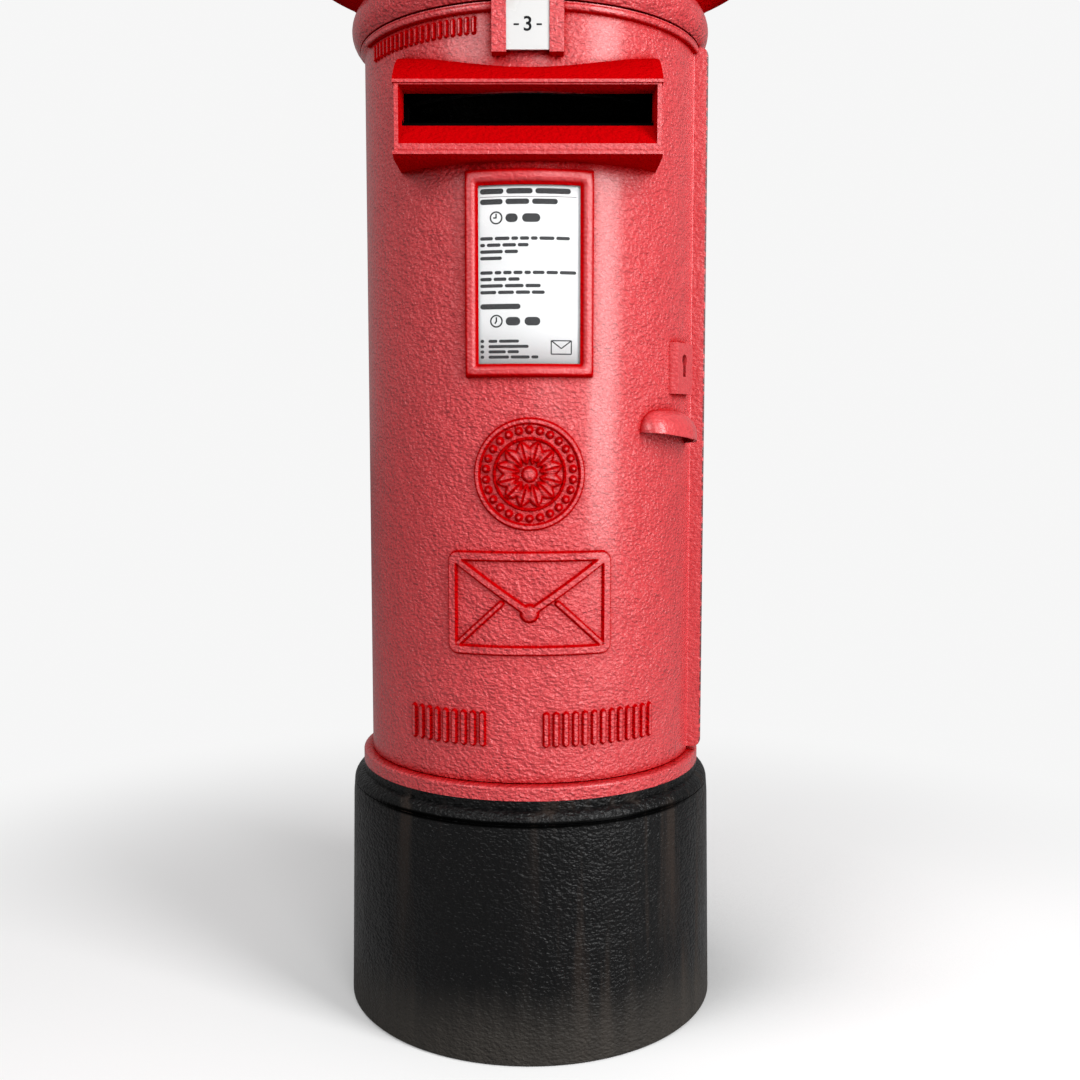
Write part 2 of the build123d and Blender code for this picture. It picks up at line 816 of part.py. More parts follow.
with BuildPart() as lock_escutcheon:
    turn = radians(lock_angle - 90)
    outline_plane = Plane(
        origin=(0, 0, escutcheon_bottom), x_dir=(-sin(turn), cos(turn), 0), z_dir=(0, 0, 1)
    )
    outline = [
        (-escutcheon_half_flat, -escutcheon_face),
        (escutcheon_half_flat, -escutcheon_face),
        (escutcheon_half_root, -escutcheon_face + 11),
        (escutcheon_half_root, -escutcheon_face + 20),
        (-escutcheon_half_root, -escutcheon_face + 20),
        (-escutcheon_half_root, -escutcheon_face + 11),
    ]
    extrude(section(outline_plane, outline), amount=escutcheon_top - escutcheon_bottom)
    extrude(disc(Plane.XY, shell_radius), amount=far, mode=Mode.SUBTRACT)
    extrude(keyhole(inner_radius), amount=60, mode=Mode.SUBTRACT)
finish(lock_escutcheon, "lock_escutcheon")

# ---------------------------------------------------------------- lock case, cover and screws
case_front = 212.0
case_back = 187.0
case_wall = 3.0
case_half = 45.0
cover_thickness = 3.0
bolt_low = 930.0
bolt_high = 948.0
bolt_back = 189.0
bolt_front = 197.0
pivot_side = -33.0
pivot_height = 955.0
pivot_radius = 3.0

with BuildPart() as lock_case:
    outer = rectangle(tangent_plane(lock_angle, case_back, 0), -case_half, case_half, lock_low, lock_high)
    extrude(outer, amount=case_front - case_back)
    cavity_half = case_half - case_wall
    cavity = rectangle(
        tangent_plane(lock_angle, case_back, 0),
        -cavity_half,
        cavity_half,
        lock_low + case_wall,
        lock_high - case_wall,
    )
    extrude(cavity, amount=case_front - case_back - case_wall, mode=Mode.SUBTRACT)
    with BuildSketch(tangent_plane(lock_angle, case_back, 0)):
        with Locations(*lock_screw_spots()):
            Circle(5)
    extrude(amount=case_front - case_back)
    with BuildSketch(tangent_plane(lock_angle, case_back, 0)):
        with Locations(*lock_screw_spots()):
            Circle(lock_screw_radius + 0.2)
    extrude(amount=case_front - case_back, mode=Mode.SUBTRACT)
    bolt_way = rectangle(
        tangent_plane(lock_angle, bolt_back - 0.1, 0),
        30,
        case_half + 10,
        bolt_low - 0.1,
        bolt_high + 0.1,
    )
    extrude(bolt_way, amount=bolt_front - bolt_back + 0.2, mode=Mode.SUBTRACT)
    extrude(keyhole(case_front - 10, spare=0.6), amount=20, mode=Mode.SUBTRACT)
finish(lock_case, "lock_case")

with BuildPart() as lock_cover:
    plate = rectangle(tangent_plane(lock_angle, case_back, 0), -case_half, case_half, lock_low, lock_high)
    extrude(plate, amount=-cover_thickness)
    with BuildSketch(tangent_plane(lock_angle, case_back, 0)):
        with Locations(*lock_screw_spots()):
            Circle(lock_screw_radius + 0.2)
    extrude(amount=-cover_thickness, mode=Mode.SUBTRACT)
finish(lock_cover, "lock_cover")

with BuildPart() as lock_screws:
    with BuildSketch(tangent_plane(lock_angle, case_back - cover_thickness, 0)):
        with Locations(*lock_screw_spots()):
            Circle(5)
    extrude(amount=-3)
    with BuildSketch(tangent_plane(lock_angle, case_back - cover_thickness, 0)):
        with Locations(*lock_screw_spots()):
            Circle(lock_screw_radius)
    extrude(amount=36)
finish(lock_screws, "lock_screws")

# ---------------------------------------------------------------- lock bolt, levers, pivot and springs
bolt_tail = -28.0
bolt_nose = 47.0
talon_half = 8.0
stump_side = 5.0
stump_height = 942.0
lever_count = 4
lever_thickness = 1.8
lever_pitch = 2.3
lever_back = bolt_front + 1.6

with BuildPart() as lock_bolt:
    bar = rectangle(tangent_plane(lock_angle, bolt_back, 0), bolt_tail, bolt_nose, bolt_low, bolt_high)
    extrude(bar, amount=bolt_front - bolt_back)
    talon_left = keyhole_side - talon_half
    talon_right = keyhole_side + talon_half
    talon_plane = tangent_plane(lock_angle, bolt_back, 0)
    talon = rectangle(talon_plane, talon_left, talon_right, bolt_low - 1, bolt_low + 5)
    extrude(talon, amount=bolt_front - bolt_back, mode=Mode.SUBTRACT)
    with BuildSketch(tangent_plane(lock_angle, bolt_front, 0)):
        with Locations((stump_side, stump_height)):
            Circle(2.5)
    extrude(amount=11)
finish(lock_bolt, "lock_bolt")

with BuildPart() as lock_levers:
    for number in range(lever_count):
        level = lever_back + number * lever_pitch
        with BuildSketch(tangent_plane(lock_angle, level, 0)):
            with Locations((pivot_side, pivot_height - 6)):
                Circle(8)
            with Locations(((pivot_side + 31) / 2, 942)):
                Rectangle(31 - pivot_side, 30)
            with Locations((pivot_side, pivot_height)):
                Circle(pivot_radius + running_clearance, mode=Mode.SUBTRACT)
            with Locations((stump_side + 7, stump_height - 1)):
                Rectangle(26, 16, mode=Mode.SUBTRACT)
        extrude(amount=lever_thickness)
finish(lock_levers, "lock_levers")

with BuildPart() as lever_pivot:
    pin_plane = tangent_plane(lock_angle, bolt_front + 0.5, 0)
    with BuildSketch(pin_plane):
        with Locations((pivot_side, pivot_height)):
            Circle(pivot_radius)
    extrude(amount=case_front - case_wall - bolt_front - 0.5)
finish(lever_pivot, "lever_pivot")

with BuildPart() as lever_springs:
    for number in range(lever_count):
        level = lever_back + number * lever_pitch
        leaf = [(-20, 957), (-20, 957.6), (8, 968.4), (24, 968.4), (24, 967.8), (8.2, 967.8), (-19.8, 957)]
        extrude(section(tangent_plane(lock_angle, level + 0.2, 0), leaf), amount=lever_thickness - 0.4)
finish(lever_springs, "lever_springs")

# ---------------------------------------------------------------- lock keep on the door jamb
keep_start = 76.2
keep_end = 83.0
keep_flange_end = 89.0
keep_inner = 186.0
keep_low = bolt_low - 14
keep_high = bolt_high + 14
keep_clearance = 0.4
keep_screw_angle = 86.3

with BuildPart() as lock_keep:
    block_section = [
        (keep_inner, keep_low),
        (inner_radius - keep_clearance, keep_low),
        (inner_radius - keep_clearance, keep_high),
        (keep_inner, keep_high),
    ]
    revolve(
        section(radial_plane(keep_start), block_section),
        axis=Axis.Z,
        revolution_arc=keep_end - keep_start,
    )
    flange_section = [
        (inner_radius - 5, keep_low),
        (inner_radius - 0.05, keep_low),
        (inner_radius - 0.05, keep_high),
        (inner_radius - 5, keep_high),
    ]
    flange_start = jamb_angle + 0.5
    revolve(
        section(radial_plane(flange_start), flange_section),
        axis=Axis.Z,
        revolution_arc=keep_flange_end - flange_start,
    )
    pocket_cut = rectangle(
        tangent_plane(lock_angle, bolt_back - 0.4, 0), case_half, 68, bolt_low - 0.5, bolt_high + 0.5
    )
    extrude(pocket_cut, amount=bolt_front - bolt_back + 0.8, mode=Mode.SUBTRACT)
    for height in (keep_low + 9, keep_high - 9):
        screw_hole = disc(tangent_plane(keep_screw_angle, inner_radius - 20, height), 2.7)
        extrude(screw_hole, amount=30, mode=Mode.SUBTRACT)
finish(lock_keep, "lock_keep")

with BuildPart() as keep_screws:
    for height in (keep_low + 9, keep_high - 9):
        seat = tangent_plane(keep_screw_angle, inner_radius - 5.2, height)
        extrude(disc(seat, 4.5), amount=-3)
        extrude(disc(seat, 2.5), amount=5.1)
finish(keep_screws, "keep_screws")

# ---------------------------------------------------------------- door pull
pull_angle = 53.0
pull_height = 807.0
pull_centre = 228.0
pull_half = 60.0
pull_depth = 31.0
pull_wall = 5.0
pull_mouth_drop = 4.2
pull_tilt = 13.8
pull_roll = -7.1

with BuildPart() as door_pull:
    pull_plane = tangent_plane(pull_angle, pull_centre, pull_height)
    for half_length, depth, mode in (
        (pull_half, pull_depth, Mode.ADD),
        (pull_half - pull_wall, pull_depth - pull_wall, Mode.SUBTRACT),
    ):
        with BuildSketch(pull_plane) as lens:
            Ellipse(half_length, depth)
            with Locations((0, -depth)):
                Rectangle(2 * half_length, 2 * depth, mode=Mode.SUBTRACT)
        revolve(lens.sketch, axis=Axis(pull_plane.origin, pull_plane.x_dir), mode=mode)
    # The mouth slopes down towards the front and towards the right.
    mouth_origin = tangent_plane(pull_angle, pull_centre, pull_height - pull_mouth_drop).origin
    mouth = Plane(mouth_origin, x_dir=pull_plane.x_dir, z_dir=(0, 0, 1))
    mouth = mouth.rotated((pull_tilt, pull_roll, 0))
    split(bisect_by=mouth, keep=Keep.TOP)
    extrude(disc(Plane.XY, shell_radius), amount=far, mode=Mode.SUBTRACT)
finish(door_pull, "door_pull")

# ---------------------------------------------------------------- letter cage
cage_bottom = floor_level + floor_thickness
cage_top = 1095.0
cage_half = 165.0
cage_front_y = -30.0
wire_radius = 2.5
corner_radius = 3.5
rail_radius = 4.5
front_gap = 33.0
side_gap = 31.0
side_wires = 5
cage_levels = (cage_bottom + rail_radius, 600.0, 850.0, cage_top - rail_radius)
clip_levels = (600.0, 850.0)
clip_inset = 5.5


def upright(x, y, radius):
    """A round upright of the cage."""
    extrude(disc(Plane((x, y, cage_bottom)), radius), amount=cage_top - cage_bottom)


with BuildPart() as cage_front:
    for step in range(-5, 6):
        upright(step * front_gap, cage_front_y, corner_radius if abs(step) == 5 else wire_radius)
    for level in cage_levels:
        rail = disc(Plane((-cage_half - 2, cage_front_y, level), z_dir=(1, 0, 0)), rail_radius)
        extrude(rail, amount=2 * cage_half + 4)
finish(cage_front, "cage_front")

cage_back_y = cage_front_y + side_wires * side_gap
with BuildPart() as cage_sides:
    for side in (-1, 1):
        for step in range(1, side_wires + 1):
            radius = corner_radius if step == side_wires else wire_radius
            upright(side * cage_half, cage_front_y + step * side_gap, radius)
        for level in cage_levels:
            start = Plane((side * cage_half, cage_front_y + rail_radius, level), z_dir=(0, 1, 0))
            extrude(disc(start, rail_radius), amount=cage_back_y + 2 - cage_front_y - rail_radius)
finish(cage_sides, "cage_sides")

# Clips grip the cage's back corners against the shell.
cage_corner_angle = 90 + degrees(atan2(cage_back_y, cage_half))
with BuildPart() as cage_clips:
    for side in (-1, 1):
        for level in clip_levels:
            low = level + rail_radius + 2
            clip_section = [
                (inner_radius - clip_inset - 8, low),
                (inner_radius - 0.05, low),
                (inner_radius - 0.05, low + 24),
                (inner_radius - clip_inset - 8, low + 24),
            ]
            start_angle = side * cage_corner_angle - 3.5
            revolve(section(radial_plane(start_angle), clip_section), axis=Axis.Z, revolution_arc=7)
        corner = Plane((side * cage_half, cage_back_y, cage_bottom))
        extrude(disc(corner, corner_radius + 0.05), amount=cage_top - cage_bottom, mode=Mode.SUBTRACT)
finish(cage_clips, "cage_clips")
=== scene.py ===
import json
import math
import random

import bmesh
import bpy
import numpy as np
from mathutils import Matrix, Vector


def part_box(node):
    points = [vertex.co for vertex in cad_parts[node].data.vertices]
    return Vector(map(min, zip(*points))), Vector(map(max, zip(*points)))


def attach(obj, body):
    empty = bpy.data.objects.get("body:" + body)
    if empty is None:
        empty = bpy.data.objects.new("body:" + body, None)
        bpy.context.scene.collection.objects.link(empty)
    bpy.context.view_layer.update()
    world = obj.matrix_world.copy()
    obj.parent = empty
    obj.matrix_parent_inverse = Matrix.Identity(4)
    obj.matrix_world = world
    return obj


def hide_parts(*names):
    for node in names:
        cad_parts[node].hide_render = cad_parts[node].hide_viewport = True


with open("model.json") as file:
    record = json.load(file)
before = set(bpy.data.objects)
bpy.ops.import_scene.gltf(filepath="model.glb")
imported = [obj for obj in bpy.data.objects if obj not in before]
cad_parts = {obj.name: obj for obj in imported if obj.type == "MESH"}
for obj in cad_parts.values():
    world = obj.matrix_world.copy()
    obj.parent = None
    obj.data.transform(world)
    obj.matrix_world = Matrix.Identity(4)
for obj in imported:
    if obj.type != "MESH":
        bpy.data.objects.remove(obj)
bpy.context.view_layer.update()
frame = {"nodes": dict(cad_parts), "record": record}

# Metres, in the CAD's frame: +Z is up and the door faces -Y. Angles go round the drum from the front,
# positive towards +X, and s is the distance round the drum's surface, so s = angle * DRUM_RADIUS.
nodes = frame["nodes"]

DRUM_RADIUS = 0.229  # the outside of the drum and the door
INNER_RADIUS = 0.2225  # anything nearer the axis than this is inside the drum
GROOVE_HEIGHT = 0.315  # the groove round the plinth
FRONT = (0, -1, 0)
DOWN = (0, 0, -1)


def middle(node):
    low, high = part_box(node)
    return (low + high) / 2


# ---------------------------------------------------------------- materials
class Finish:
    """A Principled material whose nodes are added one call at a time."""

    def __init__(self, name, **sockets):
        self.material = bpy.data.materials.new(name)
        self.material.use_nodes = True
        self.tree = self.material.node_tree
        self.shader = self.tree.nodes["Principled BSDF"]
        for socket, value in sockets.items():
            self.shader.inputs[socket.replace("_", " ")].default_value = value

    def add(self, kind, sockets=None, **settings):
        """Adds a node, sets its settings, then sets or links its input sockets."""
        node = self.tree.nodes.new("ShaderNode" + kind)
        for name, value in settings.items():
            setattr(node, name, value)
        for socket, value in (sockets or {}).items():
            if isinstance(value, bpy.types.NodeSocket):
                self.tree.links.new(value, node.inputs[socket])
            else:
                node.inputs[socket].default_value = value
        return node

    def math(self, operation, first, second=0.0):
        return self.add("Math", {0: first, 1: second}, operation=operation).outputs[0]

    def place(self, stretch=(1, 1, 1)):
        """Object coordinates, squeezed or stretched along each axis."""
        coordinates = self.add("TexCoord").outputs["Object"]
        return self.add("Mapping", {"Vector": coordinates, "Scale": stretch}).outputs[0]

    def noise(self, scale, detail=2.0, roughness=0.5, distortion=0.0, stretch=(1, 1, 1)):
        """A noise value from 0 to 1 with features of 1 / scale metres."""
        sockets = {
            "Vector": self.place(stretch),
            "Scale": scale,
            "Detail": detail,
            "Roughness": roughness,
            "Distortion": distortion,
        }
        return self.add("TexNoise", sockets).outputs[0]

    def span(self, value, low, high, to_low=0.0, to_high=1.0):
        """Maps low..high to to_low..to_high, with soft ends."""
        sockets = {"Value": value, "From Min": low, "From Max": high, "To Min": to_low, "To Max": to_high}
        return self.add("MapRange", sockets, interpolation_type="SMOOTHSTEP").outputs[0]

    def blend(self, share, first, second):
        """Goes from the first colour to the second as share goes from 0 to 1."""
        mix = self.add("Mix", {0: share, 6: first, 7: second}, data_type="RGBA")
        return mix.outputs[2]

    def bump(self, height, distance, strength=1.0, after=None):
        sockets = {"Height": height, "Distance": distance, "Strength": strength}
        if after is not None:
            sockets["Normal"] = after
        return self.add("Bump", sockets).outputs[0]

    def crevices(self, reach):
        """1 in the open and 0 deep in a corner."""
        return self.add("AmbientOcclusion", {"Distance": reach}, samples=6).outputs["AO"]

    def wire(self, socket, value):
        self.tree.links.new(value, self.shader.inputs[socket])


WRINKLES = 195.0  # ripples of the paint per metre
SWELLS = 24.0  # broad waves of the casting per metre


def wrinkled(finish, depth):
    """A normal with the ripples of thick paint over rough cast iron, and the ripples' own height."""
    ripples = finish.noise(WRINKLES, detail=1.0, roughness=0.45, distortion=0.2, stretch=(1, 1, 1.4))
    warp = finish.noise(WRINKLES * 0.4, detail=1.0)
    swell = finish.noise(SWELLS, detail=1.0)
    height = finish.math("ADD", ripples, finish.math("MULTIPLY", warp, 0.5))
    broad = finish.bump(swell, depth * 2.0, 0.6)
    return finish.bump(height, depth, 1.0, after=broad), ripples


def facing(finish, direction):
    """How far a surface faces along a direction, from -1 to 1."""
    normal = finish.add("TexCoord").outputs["Normal"]
    return finish.add("VectorMath", {0: normal, 1: direction}, operation="DOT_PRODUCT").outputs["Value"]


def from_axis(finish):
    """The distance from the drum's axis."""
    level = finish.place((1, 1, 0))
    return finish.add("VectorMath", {0: level}, operation="LENGTH").outputs["Value"]


def inside_body(finish):
    """1 on the inner faces of the drum, cap and door, which are coloured near black as painted shade."""
    within = finish.math("LESS_THAN", from_axis(finish), INNER_RADIUS)
    not_a_top = finish.math("LESS_THAN", facing(finish, (0, 0, 1)), 0.5)
    return finish.math("MULTIPLY", within, not_a_top)


SEAM_RADII = (0.2462, 0.2470)  # from the closing strip's side to its outer face


def on_seam(finish):
    """1 on dashes down the outer face of the closing strip, which are painted dark as the shade of the gap
    beside it.
    """
    dashes = finish.span(finish.noise(85.0, stretch=(0, 0, 1)), 0.40, 0.52)
    return finish.math("MULTIPLY", finish.span(from_axis(finish), *SEAM_RADII), dashes)


SLOT_HALF_WIDTH = 0.1535
THROAT_HEIGHTS, THROAT_FRONT = (1.1836, 1.2224), -0.2180
# the sill's zone starts further forward, as painted shadow falling onto the sill
SILL_HEIGHTS, SILL_FRONT = (1.1800, 1.1870), -0.2325


def inside_slot(finish):
    """1 on the walls of the letter slot behind the hood's mouth and on the back of its sill, which are coloured
    black as painted shade.
    """
    x, y, z = finish.add("SeparateXYZ", {0: finish.place()}).outputs
    across = finish.math("ABSOLUTE", finish.math("SUBTRACT", x, middle("slot_hood").x))

    def zone(heights, front):
        above = finish.math("GREATER_THAN", z, heights[0])
        below = finish.math("LESS_THAN", z, heights[1])
        behind = finish.math("GREATER_THAN", y, front)
        return finish.math("MULTIPLY", finish.math("MULTIPLY", above, below), behind)

    black = finish.math("MAXIMUM", zone(THROAT_HEIGHTS, THROAT_FRONT), zone(SILL_HEIGHTS, SILL_FRONT))
    return finish.math("MULTIPLY", finish.math("LESS_THAN", across, SLOT_HALF_WIDTH), black)


# Ambient occlusion finds the corners, where the paint takes a deep red as painted shade, and where it is open
# it keeps its faded colour.
HIDDEN_TO_OPEN = (0.55, 0.96)
FADED = (0.58, 0.043, 0.049, 1)
FADED_DEEPER = (0.55, 0.032, 0.038, 1)
# painted shade: a deeper red in the hollows of the paint's ripples
WRINKLE_SHADE = (0.51, 0.024, 0.032, 1)
# painted shade: the deep red of corners, undersides and the steep sides of castings
SHADE_RED = (0.39, 0.0003, 0.0012, 1)
# painted shade: the dark red deep in gaps, in the keyhole and on the closing strip's edge
GAP_SHADE = (0.085, 0.0004, 0.0015, 1)
# painted shade: the near black of the drum's inner faces
INSIDE_SHADE = (0.010, 0.009, 0.009, 1)
# painted shade: the black inside the letter slot
SLOT_SHADE = (0.0015, 0.0015, 0.0015, 1)


def red_paint(name="red_paint", reach=0.012, gap=(0.06, 0.34), shade_facing=None, fade=1.0, ripple=0.0048,
              cast=False, slot=False, hollow=False, seam=False):
    """Red gloss paint, faded where it is open, with painted shade: deep red in its corners and dark in deep
    gaps.

    reach is how far a corner casts the painted shade, and gap the openness below which a deep gap is painted
    dark as
    shade. shade_facing is (direction, low, high): a face takes the painted shade until it turns to that
    direction from low to high. fade is the most of the way that the paint goes from the shade's deep red to its
    faded colour, and ripple the depth of its wrinkles. cast reads from its own mesh how far each point of a
    casting is out of the painted shade, and slot, hollow and seam paint shade on the slot's walls, the inner
    faces and the strip's outer edge.
    """
    finish = Finish(name, IOR=1.45, Coat_Roughness=0.25)
    normal, ripples = wrinkled(finish, ripple)
    patches = finish.noise(6.0, detail=3.0, stretch=(1, 1, 0.4))
    faded = finish.blend(patches, FADED, FADED_DEEPER)
    # painted shade: the hollows of the ripples are a deeper red
    textured = finish.blend(finish.span(ripples, 0.36, 0.55), WRINKLE_SHADE, faded)
    # painted shade: corners that ambient occlusion finds, and faces turned away from a given direction, take a
    # deep red in place of the faded colour
    openness = finish.crevices(reach)
    unshaded = finish.span(openness, *HIDDEN_TO_OPEN)
    if shade_facing:
        direction, low, high = shade_facing
        unshaded = finish.math("MULTIPLY", unshaded, finish.span(facing(finish, direction), low, high))
    if cast:
        of_point = finish.add("Attribute", attribute_name="unshaded").outputs["Fac"]
        unshaded = finish.math("MULTIPLY", unshaded, of_point)
    if fade < 1.0:
        unshaded = finish.math("MULTIPLY", unshaded, fade)
    colour = finish.blend(unshaded, SHADE_RED, textured)
    # painted shade: deep gaps that ambient occlusion finds are darkened
    colour = finish.blend(finish.span(openness, *gap), GAP_SHADE, colour)
    # painted shade: the inner faces are near black
    if hollow:
        colour = finish.blend(inside_body(finish), colour, INSIDE_SHADE)
    # painted shade: dark dashes down the closing strip's outer edge
    if seam:
        colour = finish.blend(on_seam(finish), colour, GAP_SHADE)
    # painted shade: the letter slot's walls are black
    if slot:
        colour = finish.blend(inside_slot(finish), colour, SLOT_SHADE)
    finish.wire("Base Color", colour)
    finish.wire("Specular IOR Level", finish.math("MULTIPLY", unshaded, 0.6))
    finish.wire("Coat Weight", finish.math("MULTIPLY", unshaded, 0.7))
    finish.wire("Roughness", finish.span(ripples, 0.2, 0.8, 0.46, 0.33))
    finish.wire("Normal", normal)
    return finish.material


BLACK = (0.0018, 0.0018, 0.0020, 1)
RUN_STAIN = (0.024, 0.016, 0.012, 1)
DUST = (0.046, 0.040, 0.034, 1)
# painted shadow in the plinth's groove
GROOVE_SHADOW = (0.0004, 0.0004, 0.0004, 1)


def black_paint():
    """The plinth's black paint, with run stains down it, splashed dust towards the ground and a painted shadow
    along its groove at the front.
    """
    finish = Finish("black_paint", IOR=1.45, Coat_Weight=0.04, Coat_Roughness=0.3)
    normal, ripples = wrinkled(finish, 0.0030)
    height = finish.add("SeparateXYZ", {0: finish.place()}).outputs["Z"]
    streaks = finish.noise(42.0, detail=3.0, roughness=0.55, stretch=(1, 1, 0.05))
    patches = finish.noise(5.0, detail=2.0, stretch=(1, 1, 0.35))
    runs = finish.math("MULTIPLY", finish.span(streaks, 0.48, 0.70), finish.span(patches, 0.42, 0.64))
    stained = finish.blend(finish.math("MULTIPLY", runs, 0.8), BLACK, RUN_STAIN)
    near_ground = finish.span(height, 0.17, 0.0, 0.0, 0.62)
    splash = finish.math("ADD", near_ground, finish.math("MULTIPLY", streaks, 0.40))
    low = finish.span(splash, 0.36, 0.92)
    dusty = finish.blend(finish.math("MULTIPLY", low, 0.72), stained, DUST)
    # painted shadow: a soft black line along the groove at the front, fading towards the sides, with no gloss
    from_groove = finish.math("ABSOLUTE", finish.math("SUBTRACT", height, GROOVE_HEIGHT))
    at_front = finish.span(facing(finish, FRONT), 0.30, 0.80)
    groove = finish.math("MULTIPLY", finish.span(from_groove, 0.0060, 0.0022), at_front)
    finish.wire("Base Color", finish.blend(groove, dusty, GROOVE_SHADOW))
    finish.wire("Specular IOR Level", finish.span(groove, 0.0, 1.0, 0.21, 0.0))
    worn = finish.math("ADD", ripples, finish.math("ADD", low, finish.math("MULTIPLY", runs, 0.7)))
    finish.wire("Roughness", finish.span(worn, 0.2, 1.6, 0.31, 0.62))
    finish.wire("Normal", normal)
    return finish.material


def metal(name, colour, worn, grain, roughness, stretch=(1, 1, 1)):
    """A bare or plated metal with fine grain and duller patches."""
    finish = Finish(name, Metallic=1.0)
    fine = finish.noise(grain, detail=3.0, stretch=stretch)
    patches = finish.noise(grain * 0.08, detail=3.0)
    finish.wire("Base Color", finish.blend(finish.span(patches, 0.35, 0.7), colour, worn))
    finish.wire("Roughness", finish.span(fine, 0.2, 0.8, roughness - 0.1, roughness + 0.12))
    finish.wire("Normal", finish.bump(fine, 0.00006, 0.6))
    return finish.material


def spangled():
    """Hot-dip galvanised steel, with its flat crystals."""
    finish = Finish("galvanised_sheet", Metallic=1.0)
    sockets = {"Vector": finish.place(), "Scale": 95.0, "Randomness": 1.0}
    crystals = finish.add("TexVoronoi", sockets, feature="F1").outputs["Color"]
    tone = finish.add("SeparateColor", {0: crystals}).outputs[0]
    finish.wire("Base Color", finish.blend(tone, (0.34, 0.36, 0.38, 1), (0.50, 0.52, 0.54, 1)))
    finish.wire("Roughness", finish.span(tone, 0.0, 1.0, 0.36, 0.58))
    finish.wire("Normal", finish.bump(finish.noise(260.0), 0.00005, 0.5))
    return finish.material


def slot_shade_sheet():
    """Sheet steel coloured near black as painted shade, so that the slot looks black from outside; its faces
    turned up and back are a little lighter and glossier.
    """
    finish = Finish("slot_shade_sheet", IOR=1.45)
    grain = finish.noise(300.0, detail=2.0)
    black = finish.blend(grain, (0.0006, 0.0006, 0.0006, 1), (0.0014, 0.0014, 0.0014, 1))
    worn = finish.blend(grain, (0.014, 0.014, 0.014, 1), (0.026, 0.026, 0.026, 1))
    outward = finish.math("GREATER_THAN", facing(finish, (0, 0.8, 0.6)), 0.35)
    finish.wire("Base Color", finish.blend(outward, black, worn))
    finish.wire("Specular IOR Level", finish.math("MULTIPLY", outward, 0.3))
    finish.wire("Roughness", finish.span(grain, 0.2, 0.8, 0.8, 0.95))
    finish.wire("Normal", finish.bump(grain, 0.00008, 0.5))
    return finish.material


def clear_window():
    """Clear plastic with a faint haze."""
    finish = Finish("clear_window", IOR=1.49, Specular_IOR_Level=0.25, Alpha=0.025, Roughness=0.06)
    haze = finish.noise(30.0, detail=3.0)
    finish.wire("Base Color", finish.blend(haze, (0.80, 0.84, 0.86, 1), (0.90, 0.92, 0.94, 1)))
    finish.wire("Roughness", finish.span(haze, 0.3, 0.7, 0.05, 0.16))
    return finish.material


def printed_card():
    """White paper card."""
    finish = Finish("printed_card", IOR=1.45)
    fibres = finish.noise(900.0, detail=3.0)
    shade = finish.noise(11.0, detail=2.0)
    paper = finish.blend(shade, (0.66, 0.665, 0.67, 1), (0.72, 0.725, 0.73, 1))
    finish.wire("Base Color", paper)
    finish.wire("Roughness", finish.span(fibres, 0.2, 0.8, 0.55, 0.72))
    finish.wire("Normal", finish.bump(fibres, 0.00002, 0.5))
    return finish.material


def ink():
    """Matt black print, a little worn."""
    finish = Finish("black_ink", IOR=1.45, Specular_IOR_Level=0.12)
    wear = finish.noise(420.0, detail=3.0)
    fresh, worn = (0.004, 0.004, 0.005, 1), (0.014, 0.014, 0.016, 1)
    finish.wire("Base Color", finish.blend(finish.span(wear, 0.35, 0.75), fresh, worn))
    finish.wire("Roughness", finish.span(wear, 0.2, 0.8, 0.45, 0.6))
    return finish.material


def backing_board():
    """Dark foam board behind the card."""
    finish = Finish("backing_board", IOR=1.45)
    cells = finish.noise(700.0, detail=2.0)
    finish.wire("Base Color", finish.blend(cells, (0.035, 0.035, 0.036, 1), (0.055, 0.055, 0.056, 1)))
    finish.wire("Roughness", finish.span(cells, 0.2, 0.8, 0.6, 0.8))
    finish.wire("Normal", finish.bump(cells, 0.00005, 0.6))
    return finish.material


def white_enamel():
    """White enamel with a faint orange peel and grime."""
    finish = Finish("white_enamel", IOR=1.52, Coat_Weight=0.4, Coat_Roughness=0.08)
    orange_peel = finish.noise(160.0, detail=1.0)
    grime = finish.noise(35.0, detail=4.0)
    clean, dirty = (0.57, 0.57, 0.565, 1), (0.50, 0.49, 0.47, 1)
    finish.wire("Base Color", finish.blend(finish.span(grime, 0.5, 0.8), clean, dirty))
    finish.wire("Roughness", finish.span(grime, 0.3, 0.8, 0.18, 0.34))
    finish.wire("Normal", finish.bump(orange_peel, 0.00008, 0.5))
    return finish.material


finishes = {
    "red_paint": red_paint(),
    "black_paint": black_paint(),
    "zinc_steel": metal("zinc_steel", (0.60, 0.59, 0.55, 1), (0.42, 0.40, 0.36, 1), 500.0, 0.36),
    "galvanised_sheet": spangled(),
    "galvanised_wire": metal("galvanised_wire", (0.48, 0.50, 0.52, 1), (0.36, 0.37, 0.38, 1), 420.0, 0.44),
    "lock_steel": metal("lock_steel", (0.20, 0.20, 0.21, 1), (0.12, 0.11, 0.11, 1), 600.0, 0.42, (1, 1, 0.1)),
    "lock_brass": metal("lock_brass", (0.66, 0.46, 0.19, 1), (0.45, 0.30, 0.13, 1), 600.0, 0.32, (1, 1, 0.1)),
    "clear_window": clear_window(),
    "printed_card": printed_card(),
    "backing_board": backing_board(),
    "white_enamel": white_enamel(),
}
